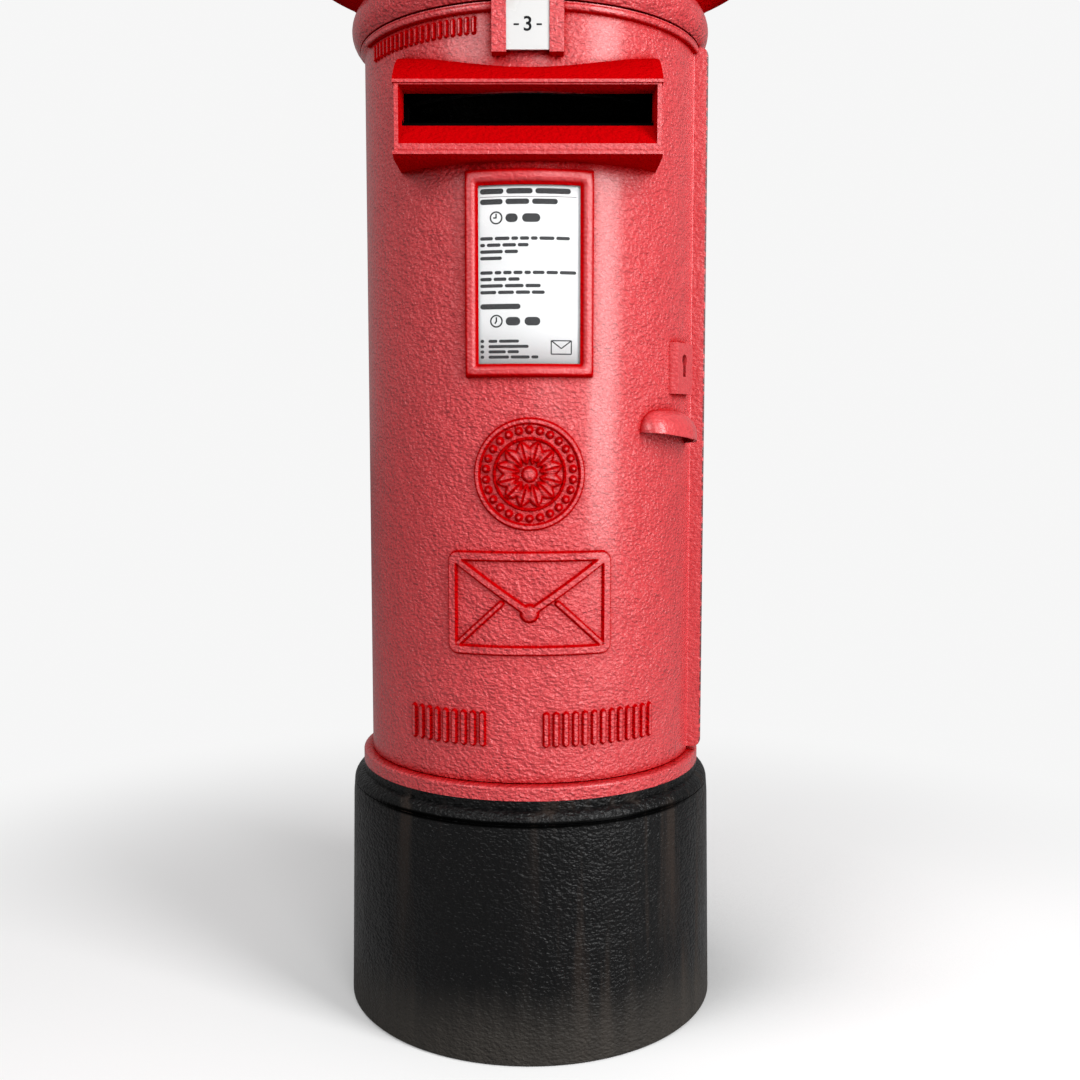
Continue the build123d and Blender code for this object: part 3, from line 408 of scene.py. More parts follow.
# These nodes have a finish of their own in place of their slot's. The cap's facing runs backwards, so that what
# faces down takes the painted shade. The hood and the tablet holder take the deep red on faces turned away from
# the front: painted shade under them, and on the hood's roof its own deeper red. The letter chute is near black
# as painted shade.
variants = {
    "letter_chute": slot_shade_sheet(),
    "body_shell": red_paint("red_paint_shell", reach=0.020, hollow=True),
    "roof_cap": red_paint("red_paint_cap", reach=0.032, shade_facing=(DOWN, 0.75, 0.05), hollow=True),
    "door": red_paint("red_paint_door", reach=0.015, slot=True, hollow=True),
    "slot_hood": red_paint("red_paint_hood", shade_facing=(FRONT, 0.86, 0.98), slot=True, fade=0.8, ripple=0.0024),
    "tablet_holder": red_paint("red_paint_holder", shade_facing=(FRONT, 0.45, 0.9)),
    "closing_strip": red_paint("red_paint_strip", reach=0.0015, seam=True, ripple=0.0016),
    "lock_escutcheon": red_paint("red_paint_lock", reach=0.010, ripple=0.0012, gap=(0.40, 0.72)),
    "door_pull": red_paint("red_paint_pull", reach=0.010, ripple=0.0020),
    "notice_frame": red_paint("red_paint_frame", reach=0.003, cast=True, fade=0.9, ripple=0.0018),
    "cast": red_paint("red_paint_cast", cast=True),
}
black_ink = ink()

for subpart in frame["record"]["subparts"]:
    slots = nodes[subpart["node"]].data.materials
    slots.clear()
    slots.append(variants.get(subpart["node"], finishes[subpart["material_slot"]]))


def soften(node, width, segments=3):
    """Rounds a CAD node's sharp edges, as thick paint does."""
    piece = nodes[node]
    piece.modifiers.new("weld", "WELD").merge_threshold = 0.00001
    flat = piece.modifiers.new("flat", "DECIMATE")
    flat.decimate_type = "DISSOLVE"
    flat.angle_limit = math.radians(0.6)
    bevel = piece.modifiers.new("bevel", "BEVEL")
    bevel.width = width
    bevel.segments = segments
    bevel.limit_method = "ANGLE"
    bevel.angle_limit = math.radians(35)
    bevel.use_clamp_overlap = True
    bevel.harden_normals = True


soften("slot_hood", 0.0016)
soften("tablet_holder", 0.0008)
soften("lock_escutcheon", 0.0009)


# ---------------------------------------------------------------- mesh helpers
def add_piece(name, points, faces, material, body):
    """Makes a smooth-shaded mesh piece and rides it on its body."""
    mesh = bpy.data.meshes.new(name)
    mesh.from_pydata(points, [], faces)
    mesh.materials.append(material)
    for polygon in mesh.polygons:
        polygon.use_smooth = True
    piece = bpy.data.objects.new(name, mesh)
    bpy.context.scene.collection.objects.link(piece)
    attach(piece, body)
    return piece


def quarter(steps):
    """Angles over a quarter turn, in even steps."""
    return [math.pi / 2 * k / steps for k in range(steps + 1)]


def on_drum(s, height, radius):
    """Points at distance s round the drum's surface from the front, at a height and radius."""
    angle = np.asarray(s) / DRUM_RADIUS
    radius, height, angle = np.broadcast_arrays(radius, height, angle)
    return np.stack([radius * np.sin(angle), -radius * np.cos(angle), height], axis=-1)


CAST_STEP = 0.00075  # the grid that castings are sampled on
CAST_EDGE = 0.0024  # how far across the side of a raised band slopes
SUNK = 0.0003  # a field's ground lies this far inside the door's face, so that no edge of it shows
CUT_HEIGHT = -0.00025  # what is lower than this is left out of a casting
CAST_DEPTH = -0.0012  # the back of a casting, inside the door's wall


def slope_unshaded(height, shaded_slopes):
    """1 where a field is level, falling to 0 on its steep sides and beside them, which take painted shade."""
    steepness = np.hypot(*np.gradient(height, CAST_STEP))
    around = np.pad(steepness, 1, mode="edge")
    neighbours = [around[1 + i:around.shape[0] - 1 + i, 1 + j:around.shape[1] - 1 + j]
                  for i in (-1, 0, 1) for j in (-1, 0, 1)]
    steepness = (np.maximum.reduce(neighbours) + steepness) / 2
    level, steep = shaded_slopes
    return 1 - np.clip((steepness - level) / (steep - level), 0, 1)


def raised(name, s_range, z_range, field, back=None, finish="cast", shaded_slopes=(0.12, 0.57), faded=None):
    """A casting raised from the door's face: field(s, z) gives its height above the face.

    Cells with a corner above the cut height are kept, and close into a solid. Its back lies in the door's wall,
    or at the height that back(s, z) gives, and then only the cells with all four corners above it are kept.
    Each point's attribute, its share out of the painted shade, comes from faded(s, z), or from the slopes
    between which the paint goes from its faded colour to the deep red of painted shade.
    """
    s_count = int(round((s_range[1] - s_range[0]) / CAST_STEP)) + 1
    z_count = int(round((z_range[1] - z_range[0]) / CAST_STEP)) + 1
    s, z = np.meshgrid(np.linspace(*s_range, s_count), np.linspace(*z_range, z_count), indexing="ij")
    height = field(s, z)
    alive = height > CUT_HEIGHT
    corners = (alive[:-1, :-1], alive[1:, :-1], alive[:-1, 1:], alive[1:, 1:])
    cell = np.logical_or.reduce(corners) if back is None else np.logical_and.reduce(corners)
    depth = np.full_like(s, CAST_DEPTH) if back is None else back(s, z)
    top = on_drum(s, z, DRUM_RADIUS + np.maximum(height, CUT_HEIGHT - 0.0001)).reshape(-1, 3)
    under = on_drum(s, z, DRUM_RADIUS + depth).reshape(-1, 3)
    number = np.arange(s_count * z_count).reshape(s_count, z_count)
    shift = s_count * z_count
    faces = []
    for i, j in zip(*np.nonzero(cell)):
        a, b, c, d = number[i, j], number[i + 1, j], number[i + 1, j + 1], number[i, j + 1]
        faces.append((a, b, c, d))
        faces.append((d + shift, c + shift, b + shift, a + shift))
        if j == 0 or not cell[i, j - 1]:
            faces.append((b, a, a + shift, b + shift))
        if j == z_count - 2 or not cell[i, j + 1]:
            faces.append((d, c, c + shift, d + shift))
        if i == 0 or not cell[i - 1, j]:
            faces.append((a, d, d + shift, a + shift))
        if i == s_count - 2 or not cell[i + 1, j]:
            faces.append((c, b, b + shift, c + shift))
    faces = np.array(faces)
    used = np.unique(faces)
    renumber = np.zeros(2 * shift, int)
    renumber[used] = np.arange(len(used))
    points = np.concatenate([top, under])[used]
    # painted shade: the steep sides of a casting and the ground beside them take the deep red
    unshaded = slope_unshaded(height, shaded_slopes) if faded is None else faded(s, z)
    unshaded = np.tile(unshaded.reshape(-1), 2)[used].astype(np.float32)
    made = add_piece(name, points.tolist(), renumber[faces].tolist(), variants[finish], "door")
    made.data.attributes.new("unshaded", "FLOAT", "POINT").data.foreach_set("value", unshaded)
    return made


def edge(distance, width):
    """0 outside a shape and 1 inside it, rising softly across width; distance is negative inside."""
    share = np.clip(0.5 - distance / width, 0, 1)
    return share * share * (3 - 2 * share)


def box_distance(x, y, half_x, half_y, round_off=0.0):
    """Distance to a rounded rectangle centred on the origin, negative inside."""
    dx = np.abs(x) - half_x + round_off
    dy = np.abs(y) - half_y + round_off
    outside = np.hypot(np.maximum(dx, 0), np.maximum(dy, 0))
    return outside + np.minimum(np.maximum(dx, dy), 0) - round_off


def line_distance(x, y, start, end):
    """Distance to a straight stretch between two points."""
    (ax, ay), (bx, by) = start, end
    length = (bx - ax) ** 2 + (by - ay) ** 2
    share = np.clip(((x - ax) * (bx - ax) + (y - ay) * (by - ay)) / length, 0, 1)
    return np.hypot(x - ax - share * (bx - ax), y - ay - share * (by - ay))


def dome(distance, radius):
    """A half-round rise from 0 at a radius to 1 at the middle."""
    return np.sqrt(np.clip(1 - (distance / radius) ** 2, 0, 1))


def from_spoke(angle, count):
    """The angle to the nearest of a count of even spokes, below 0 on one side of it."""
    turn = 2 * math.pi / count
    return (angle + math.pi) % turn - turn / 2


# ---------------------------------------------------------------- ornaments cast on the door
def rosette(s, z):
    """A flower in a ring of beads."""
    radius = np.hypot(s, z)
    angle = np.arctan2(z, s)
    rim_radius, rim_half_width, rim_height = 0.0665, 0.0036, 0.0036
    inner_radius, inner_half_width, inner_height = 0.0445, 0.0016, 0.0028
    rim = rim_height * edge(np.abs(radius - rim_radius) - rim_half_width, CAST_EDGE)
    inner_rim = inner_height * edge(np.abs(radius - inner_radius) - inner_half_width, 0.0018)
    beads, bead_ring, bead_radius, bead_height = 26, 0.0555, 0.0052, 0.0046
    from_bead = np.hypot(radius - bead_ring, radius * from_spoke(angle, beads))
    beading = bead_height * dome(from_bead, bead_radius)
    petals, petal_start, petal_length, petal_width, petal_height = 12, 0.012, 0.030, 0.0098, 0.0044
    from_petal = np.abs(from_spoke(angle, petals)) * radius
    along = np.clip((radius - petal_start) / petal_length, 0, 1)
    half_width = petal_width * np.sin(math.pi * along ** 1.35) ** 0.75
    petal = dome(from_petal, np.maximum(half_width, 1e-5)) * (half_width > 0.0006)
    vein = 0.0014 * edge(from_petal - 0.0006, 0.0012)
    flower = petal_height * petal - vein * (petal > 0)
    boss = bead_height * dome(radius, 0.0105)
    return np.maximum.reduce([rim, inner_rim, beading, flower, boss]) - SUNK


def envelope(s, z):
    """A closed envelope drawn in raised bands."""
    half_width, half_height, inset, corner = 0.107, 0.066, 0.006, 0.007
    outline_half_width, flap_half_width, seam_half_width = 0.0058, 0.0050, 0.0036
    fold_x, fold_z = half_width - 0.010, half_height - 0.010
    tip_z, seam_x, seal_radius = -0.012, 0.036, 0.0125
    outline = box_distance(s, z, half_width - inset, half_height - inset, corner)
    left_flap = line_distance(s, z, (-fold_x, fold_z), (0, tip_z))
    right_flap = line_distance(s, z, (fold_x, fold_z), (0, tip_z))
    left_seam = line_distance(s, z, (-fold_x, -fold_z), (-seam_x, 0.0))
    right_seam = line_distance(s, z, (fold_x, -fold_z), (seam_x, 0.0))
    flap = np.minimum(left_flap, right_flap) - flap_half_width
    bands = 0.0040 * edge(np.minimum(np.abs(outline) - outline_half_width, flap), CAST_EDGE)
    seams = 0.0032 * edge(np.minimum(left_seam, right_seam) - seam_half_width, CAST_EDGE)
    seal = 0.0052 * dome(np.hypot(s, z - tip_z), seal_radius)
    return np.maximum.reduce([bands, seams, seal]) - SUNK


def reeds(centres, half_width, half_height, z_middle, point):
    """A row of upright reeds; point is how far their ends slope down to the sides."""

    def field(s, z):
        high = np.full_like(s, -SUNK)
        for centre in centres:
            x, y = np.abs(s - centre), np.abs(z - z_middle)
            body = np.maximum(x - half_width, (y - half_height) * 0.82 + x * point)
            high = np.maximum(high, 0.0036 * edge(body, CAST_EDGE * 0.85) - SUNK)
        return high

    return field


def round_drum(degrees):
    """The distance round the drum from its front to an angle."""
    return math.radians(degrees) * DRUM_RADIUS


def ornament(name, field, z_middle, half_width, half_height):
    """A casting in the middle of the door, from a field centred on the origin."""
    raised(name, (-half_width, half_width), (z_middle - half_height, z_middle + half_height),
           lambda s, z: field(s, z - z_middle))


ornament("door_rosette", rosette, z_middle=0.7565, half_width=0.074, half_height=0.074)
ornament("door_envelope_emblem", envelope, z_middle=0.593, half_width=0.114, half_height=0.073)


def reed_row(name, first, last, count, z_middle, half_height, fill, point):
    """Reeds spread evenly between two angles of the door, in degrees; fill is their share of the pitch."""
    start, end = round_drum(first), round_drum(last)
    pitch = (end - start) / count
    centres = [start + pitch * (index + 0.5) for index in range(count)]
    margin = 0.004
    reach = half_height + margin
    raised(name, (start - margin, end + margin), (z_middle - reach, z_middle + reach),
           reeds(centres, pitch * fill / 2, half_height, z_middle, point))


lower = {"z_middle": 0.431, "half_height": 0.023, "fill": 0.60, "point": 0.55}
reed_row("door_lower_bars_left", -43.0, -13.6, 9, **lower)
reed_row("door_lower_bars_right", 3.7, 45.0, 13, **lower)
reed_row("door_upper_bars", -62.5, -16.0, 20, z_middle=1.3025, half_height=0.0105, fill=0.56, point=0.4)


# ---------------------------------------------------------------- bead along the door's top
def top_bead():
    """A half-round bead across the door, just below its top edge."""
    low, high, proud = 1.3166, 1.3268, 0.0073
    half = (high - low) / 2
    ends = (round_drum(-67.5), round_drum(74.3))

    def field(s, z):
        across = np.clip(np.abs(z - low - half) / half, 0, 1)
        return proud * np.sqrt(1 - across ** 3) - SUNK

    # painted shade on the bead's steepest sides only
    raised("door_top_bead", ends, (low, high), field, shaded_slopes=(1.3, 3.2))


top_bead()


# ---------------------------------------------------------------- door pull
def door_pull():
    """A hollow cup to swing the door by: blunt at its left end, with its mouth sloping down to the right."""
    centre = math.radians(53.0)
    axis_height, root = 0.807, 0.2275
    half_length, depth, wall = 0.059, 0.031, 0.0045
    blunt, slender = 5.0, 2.3  # how square each end is
    rim_height, rim_slope = -0.0050, 0.0070
    along_count, round_count = 49, 17

    def shell(inset):
        """Rings of points from the mouth's rim to the crown, for the outside or the inside of the cup."""
        points = []
        for i in range(along_count):
            share = math.sin(math.pi / 2 * (-1 + 2 * i / (along_count - 1)))
            fall = abs(share) ** (blunt if share < 0 else slender)
            radius = max(0.0006, (depth - inset) * math.sqrt(max(0.0, 1 - fall)))
            angle = centre + share * (half_length - inset) / root
            rim = rim_height - rim_slope * share
            for j in range(round_count):
                turn = math.pi / 2 * j / (round_count - 1)
                out, up = radius * math.cos(turn), radius * math.sin(turn)
                if j == 0:
                    up = min(rim, radius * 0.9)
                up = max(up, rim)
                if up > 0:
                    out = min(out, math.sqrt(max(0.0, radius ** 2 - up ** 2)))
                reach = root + out
                points.append((reach * math.sin(angle), -reach * math.cos(angle), axis_height + up))
        return points

    points = shell(0.0) + shell(wall)
    shift = along_count * round_count
    faces = []
    for i in range(along_count - 1):
        for j in range(round_count - 1):
            a, b = i * round_count + j, (i + 1) * round_count + j
            faces.append((a, b, b + 1, a + 1))
            faces.append((a + 1 + shift, b + 1 + shift, b + shift, a + shift))
        a, b = i * round_count, (i + 1) * round_count
        faces.append((a + shift, b + shift, b, a))
        top_a, top_b = a + round_count - 1, b + round_count - 1
        faces.append((top_a, top_b, top_b + shift, top_a + shift))
    made = add_piece("door_pull_casting", points, faces, variants["door_pull"], "door")
    rim = made.modifiers.new("rim", "BEVEL")
    rim.width = 0.0010
    rim.segments = 2
    rim.limit_method = "ANGLE"
    rim.angle_limit = math.radians(50)
    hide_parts("door_pull")


door_pull()


# ---------------------------------------------------------------- notice frame
SIGHT_HALF_WIDTH, SIGHT_HALF_HEIGHT = 0.0624, 0.108  # the part of the card that the frame leaves open


def notice_frame():
    """A moulding round the notice, seated over its window: it rises steeply outside and falls softly inside."""
    low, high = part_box("notice_frame")
    window_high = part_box("notice_window")[1]
    half_width = DRUM_RADIUS * math.asin(high.x / (DRUM_RADIUS + 0.004))
    half_height = (high.z - low.z) / 2
    sight_middle = middle("notice_window").z
    lip, proud, seat, rebate_margin = 0.0005, 0.0085, 0.0031, 0.0045
    rise_end, fall_start = 0.22, 0.52

    def edges(s, z):
        """Distances inside the outer edge and outside the sight edge, and the share of the way across."""
        outer = -box_distance(s, z - middle("notice_frame").z, half_width, half_height)
        inner = box_distance(s, z - sight_middle, SIGHT_HALF_WIDTH, SIGHT_HALF_HEIGHT)
        return outer, inner, np.clip(outer / np.maximum(outer + inner, 1e-6), 0, 1)

    def field(s, z):
        outer, inner, across = edges(s, z)
        rise = dome(1 - np.clip(across / rise_end, 0, 1), 1)
        fall = 0.5 + 0.5 * np.cos(math.pi * np.clip((across - fall_start) / (1 - fall_start), 0, 1))
        high_here = np.minimum(lip + (proud - lip) * rise, seat + (proud - seat) * fall)
        return np.where((outer >= -1e-9) & (inner >= -1e-9), high_here, -1.0)

    # painted shade: the moulding's outer and inner slopes take the deep red, and only its crown keeps the faded
    # colour
    def faded(s, z):
        across = edges(s, z)[2]
        return np.clip((across - 0.20) / 0.12, 0, 1) * np.clip((0.80 - across) / 0.14, 0, 1)

    def back(s, z):
        rebate = box_distance(s, z - sight_middle, window_high.x + 0.001, SIGHT_HALF_HEIGHT + rebate_margin)
        return np.where(rebate < 0, seat - 0.0002, -0.001)

    made = raised("notice_frame_moulding", (-half_width, half_width), (low.z, high.z), field, back,
                  finish="notice_frame", faded=faded)
    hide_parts("notice_frame")


notice_frame()


# ---------------------------------------------------------------- closing strip
def closing_strip():
    """The door's edge flange, blended into the drum by a cast fillet."""
    low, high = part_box("closing_strip")
    start, end = math.radians(75.0), math.radians(77.2)
    inner, outer, face, least = 0.2175, 0.248, DRUM_RADIUS + 0.00012, DRUM_RADIUS + 0.0034
    skin, fillet, corner, lip = 0.014, 0.0016, 0.010, 0.0012
    corner_steps, straight_steps, skin_steps, fillet_steps, lip_steps = 8, 60, 6, 5, 3
    rounding = [corner * (1 - math.cos(turn)) for turn in quarter(corner_steps)]
    straight = (high.z - low.z - 2 * corner) / straight_steps
    levels = [low.z + rise for rise in rounding]
    levels += [low.z + corner + straight * k for k in range(1, straight_steps)]
    levels += [high.z - rise for rise in reversed(rounding)]

    def section(reach):
        """Plan points (angle, radius) of the strip at one level, out to a radius."""
        points = []
        for k in range(skin_steps):
            points.append((start - (skin - (skin - fillet) * k / skin_steps) / DRUM_RADIUS, face))
        for turn in quarter(fillet_steps):
            along = fillet * (1 - math.sin(turn))
            points.append((start - along / DRUM_RADIUS, face + fillet * (1 - math.cos(turn))))
        edge_turn = lip / reach
        for turn in quarter(lip_steps):
            points.append((start + edge_turn * (1 - math.cos(turn)), reach - lip + lip * math.sin(turn)))
        for turn in reversed(quarter(lip_steps)):
            points.append((end - edge_turn * (1 - math.cos(turn)), reach - lip + lip * math.sin(turn)))
        points.append((end, inner))
        points.append((start, inner))
        points.append((start - skin / DRUM_RADIUS, inner))
        return points

    points, rings = [], []
    for level in levels:
        near_end = max(0.0, corner - min(level - low.z, high.z - level))
        reach = outer - corner + math.sqrt(corner ** 2 - near_end ** 2)
        reach = max(reach, least)
        ring = []
        for angle, radius in section(reach):
            ring.append(len(points))
            points.append((radius * math.sin(angle), -radius * math.cos(angle), level))
        rings.append(ring)
    faces = [tuple(reversed(rings[0])), tuple(rings[-1])]
    for lower, upper in zip(rings, rings[1:]):
        for k in range(len(lower)):
            following = (k + 1) % len(lower)
            faces.append((lower[k], lower[following], upper[following], upper[k]))
    made = add_piece("closing_strip_casting", points, faces, variants["closing_strip"], "door")
    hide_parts("closing_strip")


closing_strip()


# ---------------------------------------------------------------- notice behind its window
CARD_FRONT = DRUM_RADIUS - 0.0001


def bent_plate(name, node, box, inner, outer, finish):
    """A sheet bent to the drum's curve, in place of a CAD node with the same box."""
    columns, rows = 48, 4
    low, high = box
    across = np.linspace(-high.x, high.x, columns + 1)
    up = np.linspace(low.z, high.z, rows + 1)
    x, z = np.meshgrid(across, up, indexing="ij")
    layers = []
    for radius in (outer, inner):
        layers.append(np.stack([x, -np.sqrt(radius ** 2 - x ** 2), z], axis=-1).reshape(-1, 3))
    number = np.arange((columns + 1) * (rows + 1)).reshape(columns + 1, rows + 1)
    shift = number.size
    faces = []
    for i in range(columns):
        for j in range(rows):
            a, b, c, d = number[i, j], number[i + 1, j], number[i + 1, j + 1], number[i, j + 1]
            faces.append((a, b, c, d))
            faces.append((d + shift, c + shift, b + shift, a + shift))
    for i in range(columns):
        for a, b in ((number[i, 0], number[i + 1, 0]), (number[i + 1, rows], number[i, rows])):
            faces.append((b, a, a + shift, b + shift))
    for j in range(rows):
        for a, b in ((number[columns, j], number[columns, j + 1]), (number[0, j + 1], number[0, j])):
            faces.append((b, a, a + shift, b + shift))
    points = np.concatenate(layers).tolist()
    faces = [tuple(int(corner) for corner in face) for face in faces]
    piece = add_piece(name, points, faces, finishes[finish], "door")
    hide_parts(node)


card_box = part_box("notice_card")
window_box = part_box("notice_window")
bent_plate("notice_card_sheet", "notice_card", card_box, DRUM_RADIUS - 0.001, CARD_FRONT, "printed_card")
bent_plate("notice_window_pane", "notice_window", window_box, DRUM_RADIUS + 0.0002, DRUM_RADIUS + 0.0028,
           "clear_window")


class Print:
    """Flat shapes printed on the card, gathered into one mesh, placed across and down from its left top."""

    LIFT = 0.00005  # above the card
    STEP = 0.002  # long shapes are cut this short, so that they follow the card's curve

    def __init__(self, left, top):
        self.left, self.top = left, top
        self.points, self.faces = [], []

    def shape(self, outline):
        """A small closed outline of (across, down) points, bent onto the card."""
        first = len(self.points)
        for across, down in outline:
            x = self.left + across
            self.points.append((x, -math.sqrt((CARD_FRONT + self.LIFT) ** 2 - x * x), self.top - down))
        self.faces.append(tuple(range(first, len(self.points))))

    def pill(self, across, down, width, height):
        """A bar with round ends, down to its lower edge."""
        radius = min(height, width) / 2
        end = [(radius - radius * math.cos(turn), radius * math.sin(turn)) for turn in quarter(4)]
        straight = width - 2 * radius
        steps = max(1, math.ceil(straight / self.STEP))
        spots = end + [(radius + straight * k / steps, radius) for k in range(1, steps)]
        spots += [(width - along, rise) for along, rise in reversed(end)]
        middle_down = down - height / 2
        for (x0, rise0), (x1, rise1) in zip(spots, spots[1:]):
            if x1 - x0 > 1e-7:
                grow0, grow1 = rise0 + height / 2 - radius, rise1 + height / 2 - radius
                self.shape([
                    (across + x0, middle_down + grow0),
                    (across + x1, middle_down + grow1),
                    (across + x1, middle_down - grow1),
                    (across + x0, middle_down - grow0),
                ])

    def ring(self, across, down, radius, width):
        """A circle's line, from its centre, with its width inside the radius."""
        steps, inner = 32, radius - width
        for step in range(steps):
            corners = []
            for turn, out in ((step, radius), (step + 1, radius), (step + 1, inner), (step, inner)):
                angle = 2 * math.pi * turn / steps
                corners.append((across + out * math.sin(angle), down - out * math.cos(angle)))
            self.shape(corners)

    def stroke(self, start, end, width):
        """A straight line of a width between two points."""
        (ax, ay), (bx, by) = start, end
        length = math.hypot(bx - ax, by - ay)
        nx, ny = -(by - ay) / length * width / 2, (bx - ax) / length * width / 2
        steps = max(1, math.ceil(length / self.STEP))
        spots = [(ax + (bx - ax) * k / steps, ay + (by - ay) * k / steps) for k in range(steps + 1)]
        for (px, py), (qx, qy) in zip(spots, spots[1:]):
            self.shape([(px + nx, py + ny), (qx + nx, qy + ny), (qx - nx, qy - ny), (px - nx, py - ny)])

    def clock(self, across, down, radius, hour_angle):
        """A clock face on the hour, with its hour hand turned by an angle from the top."""
        line, minute_hand, hour_hand, tail = radius * 0.24, radius * 0.62, radius * 0.45, radius * 0.1
        hour_tip = (across + hour_hand * math.sin(hour_angle), down - hour_hand * math.cos(hour_angle))
        self.ring(across, down, radius, line)
        self.stroke((across, down + tail), (across, down - minute_hand), line)
        self.stroke((across, down), hour_tip, line)

    def envelope(self, across, down, width, height, line):
        """A small drawn envelope, from its upper left corner."""
        right, low = across + width, down + height
        tip = (across + width / 2, down + height * 0.58)
        for start, end in (
            ((across, down), (right, down)),
            ((right, down), (right, low)),
            ((right, low), (across, low)),
            ((across, low), (across, down)),
            ((across, down), tip),
            ((right, down), tip),
        ):
            self.stroke(start, end, line)


def print_notice():
    """A notice of plain bars in place of words, with clock faces at the two collection times."""
    sheet = Print(-SIGHT_HALF_WIDTH, middle("notice_window").z + SIGHT_HALF_HEIGHT)
    draw = random.Random(11)
    margin, rule = 0.0015, 0.0006
    heading, time, body, small = 0.0066, 0.0105, 0.0042, 0.0038  # heights of the bars
    body_pitch, small_pitch = 0.0080, 0.0065
    clock_across, clock_radius, time_across, time_width = 0.0215, 0.0080, 0.0330, 0.0430

    def line(across, down, height, width, words):
        """Bars of different lengths that together fill a width, as the words of a line do."""
        gap = height * 0.50
        shares = [draw.uniform(0.5, 1.5) for _ in range(words)]
        room = width - gap * (words - 1)
        for share in shares:
            length = room * share / sum(shares)
            sheet.pill(across, down, length, height)
            across += length + gap

    def paragraph(down, rows):
        for row, (width, words) in enumerate(rows):
            line(margin, down + row * body_pitch, body, width, words)

    line(margin, 0.0098, heading, 0.112, 3)
    sheet.pill(margin, 0.0135, 0.119, rule)
    line(margin, 0.0224, heading, 0.096, 3)
    sheet.clock(clock_across, 0.0385, clock_radius, 4.7)
    line(time_across, 0.0440, time, time_width, 2)
    paragraph(0.0655, ((0.111, 7), (0.060, 4), (0.047, 2), (0.027, 1)))
    paragraph(0.1070, ((0.119, 8), (0.049, 3), (0.075, 3), (0.080, 4)))
    line(margin, 0.1495, heading, 0.050, 1)
    sheet.clock(clock_across, 0.1640, clock_radius, 3.65)
    line(time_across, 0.1695, time, time_width, 2)
    for row, (width, words) in enumerate(((0.038, 2), (0.050, 1), (0.038, 2), (0.062, 3))):
        down = 0.1905 + row * small_pitch
        sheet.pill(margin, down, 0.0046, 0.0040)
        line(margin + 0.0100, down, small, width, words)
    sheet.envelope(0.0895, 0.1880, 0.0250, 0.0165, 0.0015)
    return sheet


notice = print_notice()
add_piece("notice_print", notice.points, notice.faces, black_ink, "door")


# ---------------------------------------------------------------- number on the day tablet
def tablet_number():
    """A plain numeral between two dashes, printed on the tablet's face."""
    centre = middle("day_tablet")
    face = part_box("day_tablet")[0].y - 0.00008
    dash, half_thickness, from_centre = 0.0065, 0.0011, 0.0105
    text = bpy.data.curves.new("numeral", "FONT")
    text.body = "3"
    text.size = 0.024
    text.align_x = "CENTER"
    text.align_y = "CENTER"
    text.offset = 0.0004
    holder = bpy.data.objects.new("numeral", text)
    bpy.context.scene.collection.objects.link(holder)
    bpy.context.view_layer.update()
    mesh = bpy.data.meshes.new_from_object(holder)
    bpy.data.objects.remove(holder)
    points = [(centre.x + v.co.x, face, centre.z + v.co.y) for v in mesh.vertices]
    faces = [tuple(polygon.vertices) for polygon in mesh.polygons]
    bottom, top = centre.z - half_thickness, centre.z + half_thickness
    for side in (-1, 1):
        first = len(points)
        inner = centre.x + side * from_centre
        outer = inner + side * dash
        points += [(inner, face, bottom), (outer, face, bottom), (outer, face, top), (inner, face, top)]
        faces.append((first, first + 1, first + 2, first + 3))
    add_piece("tablet_number", points, faces, black_ink, "tablet")


tablet_number()

# ---------------------------------------------------------------- camera, floor and light
# The camera stands 1.5 m in front of the door, 0.8 m up, and looks 5 degrees down.
camera_data = bpy.data.cameras.new("camera")
camera_data.sensor_width = 36.0
camera_data.lens = 39.62
camera_data.shift_x = 0.0028
camera = bpy.data.objects.new("camera", camera_data)
camera.location = (0.0094, -1.716, 0.805)
camera.rotation_euler = (math.radians(84.973), 0, 0)
bpy.context.scene.collection.objects.link(camera)
bpy.context.scene.camera = camera


BACKDROP = 0.925  # brightness of the backdrop and the far floor
FLOOR_ALBEDO = 0.80  # as the camera sees the floor
FLOOR_SHADED = 0.48  # share of that albedo left in the painted shadow close to the base, behind it and to its right
FLOOR_BOUNCE = 0.38  # as the object sees it
FLOOR_GLOW = 0.10
FLOOR_FADE = (0.6, 1.6)  # distances over which the floor turns into backdrop


def grey(level):
    return (level, level, level, 1)


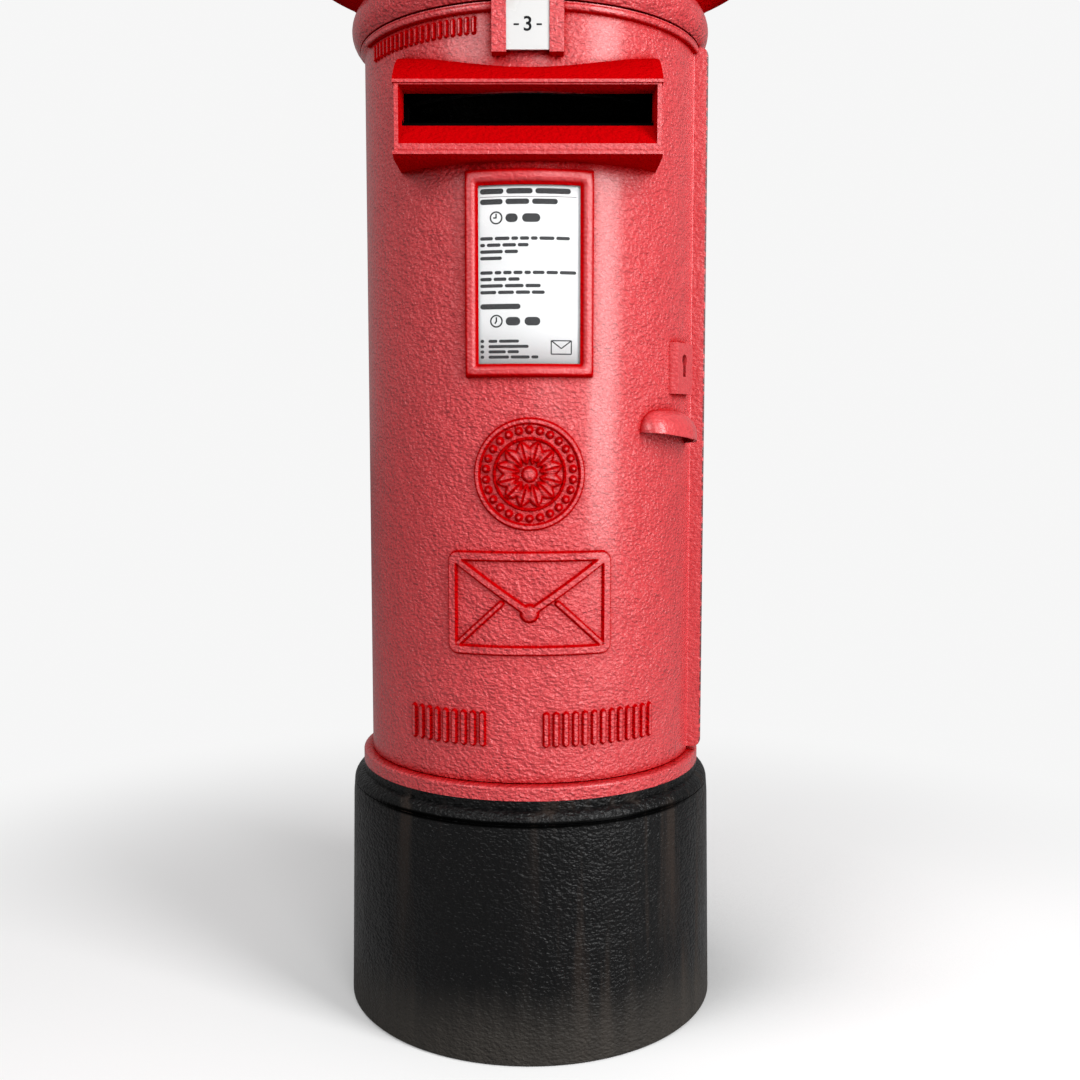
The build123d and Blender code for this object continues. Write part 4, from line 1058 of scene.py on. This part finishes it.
def pale_floor():
    """A pale floor that fades into the backdrop's own brightness away from the object."""
    mesh = bpy.data.meshes.new("studio_floor")
    made = bmesh.new()
    around = 96
    rings = []
    for radius in (0.6, 1.2, 2.4, 5.0, 12.0, 60.0):
        turns = [2 * math.pi * k / around for k in range(around)]
        rings.append([made.verts.new((radius * math.cos(t), radius * math.sin(t), 0.0)) for t in turns])
    made.faces.new(rings[0])
    for lower, upper in zip(rings, rings[1:]):
        for k in range(around):
            made.faces.new((lower[k], lower[(k + 1) % around], upper[(k + 1) % around], upper[k]))
    bmesh.ops.recalc_face_normals(made, faces=made.faces)
    made.to_mesh(mesh)
    made.free()
    floor = bpy.data.objects.new("studio_floor", mesh)
    bpy.context.scene.collection.objects.link(floor)
    finish = Finish("studio_floor", Roughness=0.95, Specular_IOR_Level=0.0, Emission_Color=grey(1))
    seen = finish.add("LightPath").outputs["Is Camera Ray"]
    across, depth, _ = finish.add("SeparateXYZ", {0: finish.place()}).outputs
    # painted shadow: the floor darkens close to the base, behind it and to its right
    shaded = finish.span(finish.crevices(0.6), 0.98, 0.55)
    shaded = finish.math("MULTIPLY", shaded, finish.span(depth, -0.26, 0.02))
    shaded = finish.math("MULTIPLY", shaded, finish.span(across, -0.30, 0.30, 0.10, 1.0))
    shown = finish.blend(shaded, grey(FLOOR_ALBEDO), grey(FLOOR_ALBEDO * FLOOR_SHADED))
    finish.wire("Base Color", finish.blend(seen, grey(FLOOR_BOUNCE), shown))
    finish.wire("Emission Strength", finish.math("MULTIPLY", seen, FLOOR_GLOW))
    plain = finish.add("Emission", {"Color": grey(1), "Strength": BACKDROP})
    distance = finish.add("VectorMath", {0: finish.place()}, operation="LENGTH").outputs["Value"]
    far = finish.math("MULTIPLY", finish.span(distance, *FLOOR_FADE), seen)
    mixed = finish.add("MixShader", {0: far, 1: finish.shader.outputs[0], 2: plain.outputs[0]})
    output = finish.tree.nodes["Material Output"]
    finish.tree.links.new(mixed.outputs[0], output.inputs["Surface"])
    mesh.materials.append(finish.material)


pale_floor()


def softbox(name, place, width, height, power):
    """A rectangular light that faces the middle of the drum."""
    lamp = bpy.data.lights.new(name, "AREA")
    lamp.shape = "RECTANGLE"
    lamp.size = width
    lamp.size_y = height
    lamp.energy = power
    holder = bpy.data.objects.new(name, lamp)
    holder.location = place
    holder.rotation_euler = (AIM - Vector(place)).to_track_quat("-Z", "Y").to_euler()
    bpy.context.scene.collection.objects.link(holder)


AIM = Vector((0, 0, 0.75))
softbox("key_light", (2.25, -1.96, 1.9), width=1.1, height=3.2, power=116)
softbox("front_light", (0.75, -3.05, 2.1), width=1.2, height=2.4, power=38)
softbox("fill_light", (-1.7, -2.0, 2.4), width=1.3, height=1.3, power=30)
softbox("top_light", (0.0, 0.3, 3.8), width=3.0, height=3.0, power=24)


def studio_world(light):
    """Even pale light all round, behind a backdrop of the floor's brightness."""
    made = bpy.data.worlds.new("studio_world")
    made.use_nodes = True
    tree = made.node_tree
    ambient = tree.nodes["Background"]
    ambient.inputs["Strength"].default_value = light
    ambient.inputs["Color"].default_value = grey(1)
    backdrop = tree.nodes.new("ShaderNodeBackground")
    backdrop.inputs["Strength"].default_value = BACKDROP
    backdrop.inputs["Color"].default_value = grey(1)
    seen = tree.nodes.new("ShaderNodeLightPath")
    mix = tree.nodes.new("ShaderNodeMixShader")
    tree.links.new(seen.outputs["Is Camera Ray"], mix.inputs[0])
    tree.links.new(ambient.outputs[0], mix.inputs[1])
    tree.links.new(backdrop.outputs[0], mix.inputs[2])
    tree.links.new(mix.outputs[0], tree.nodes["World Output"].inputs["Surface"])
    return made


bpy.context.scene.world = studio_world(0.30)
bpy.context.scene.view_settings.view_transform = "Standard"
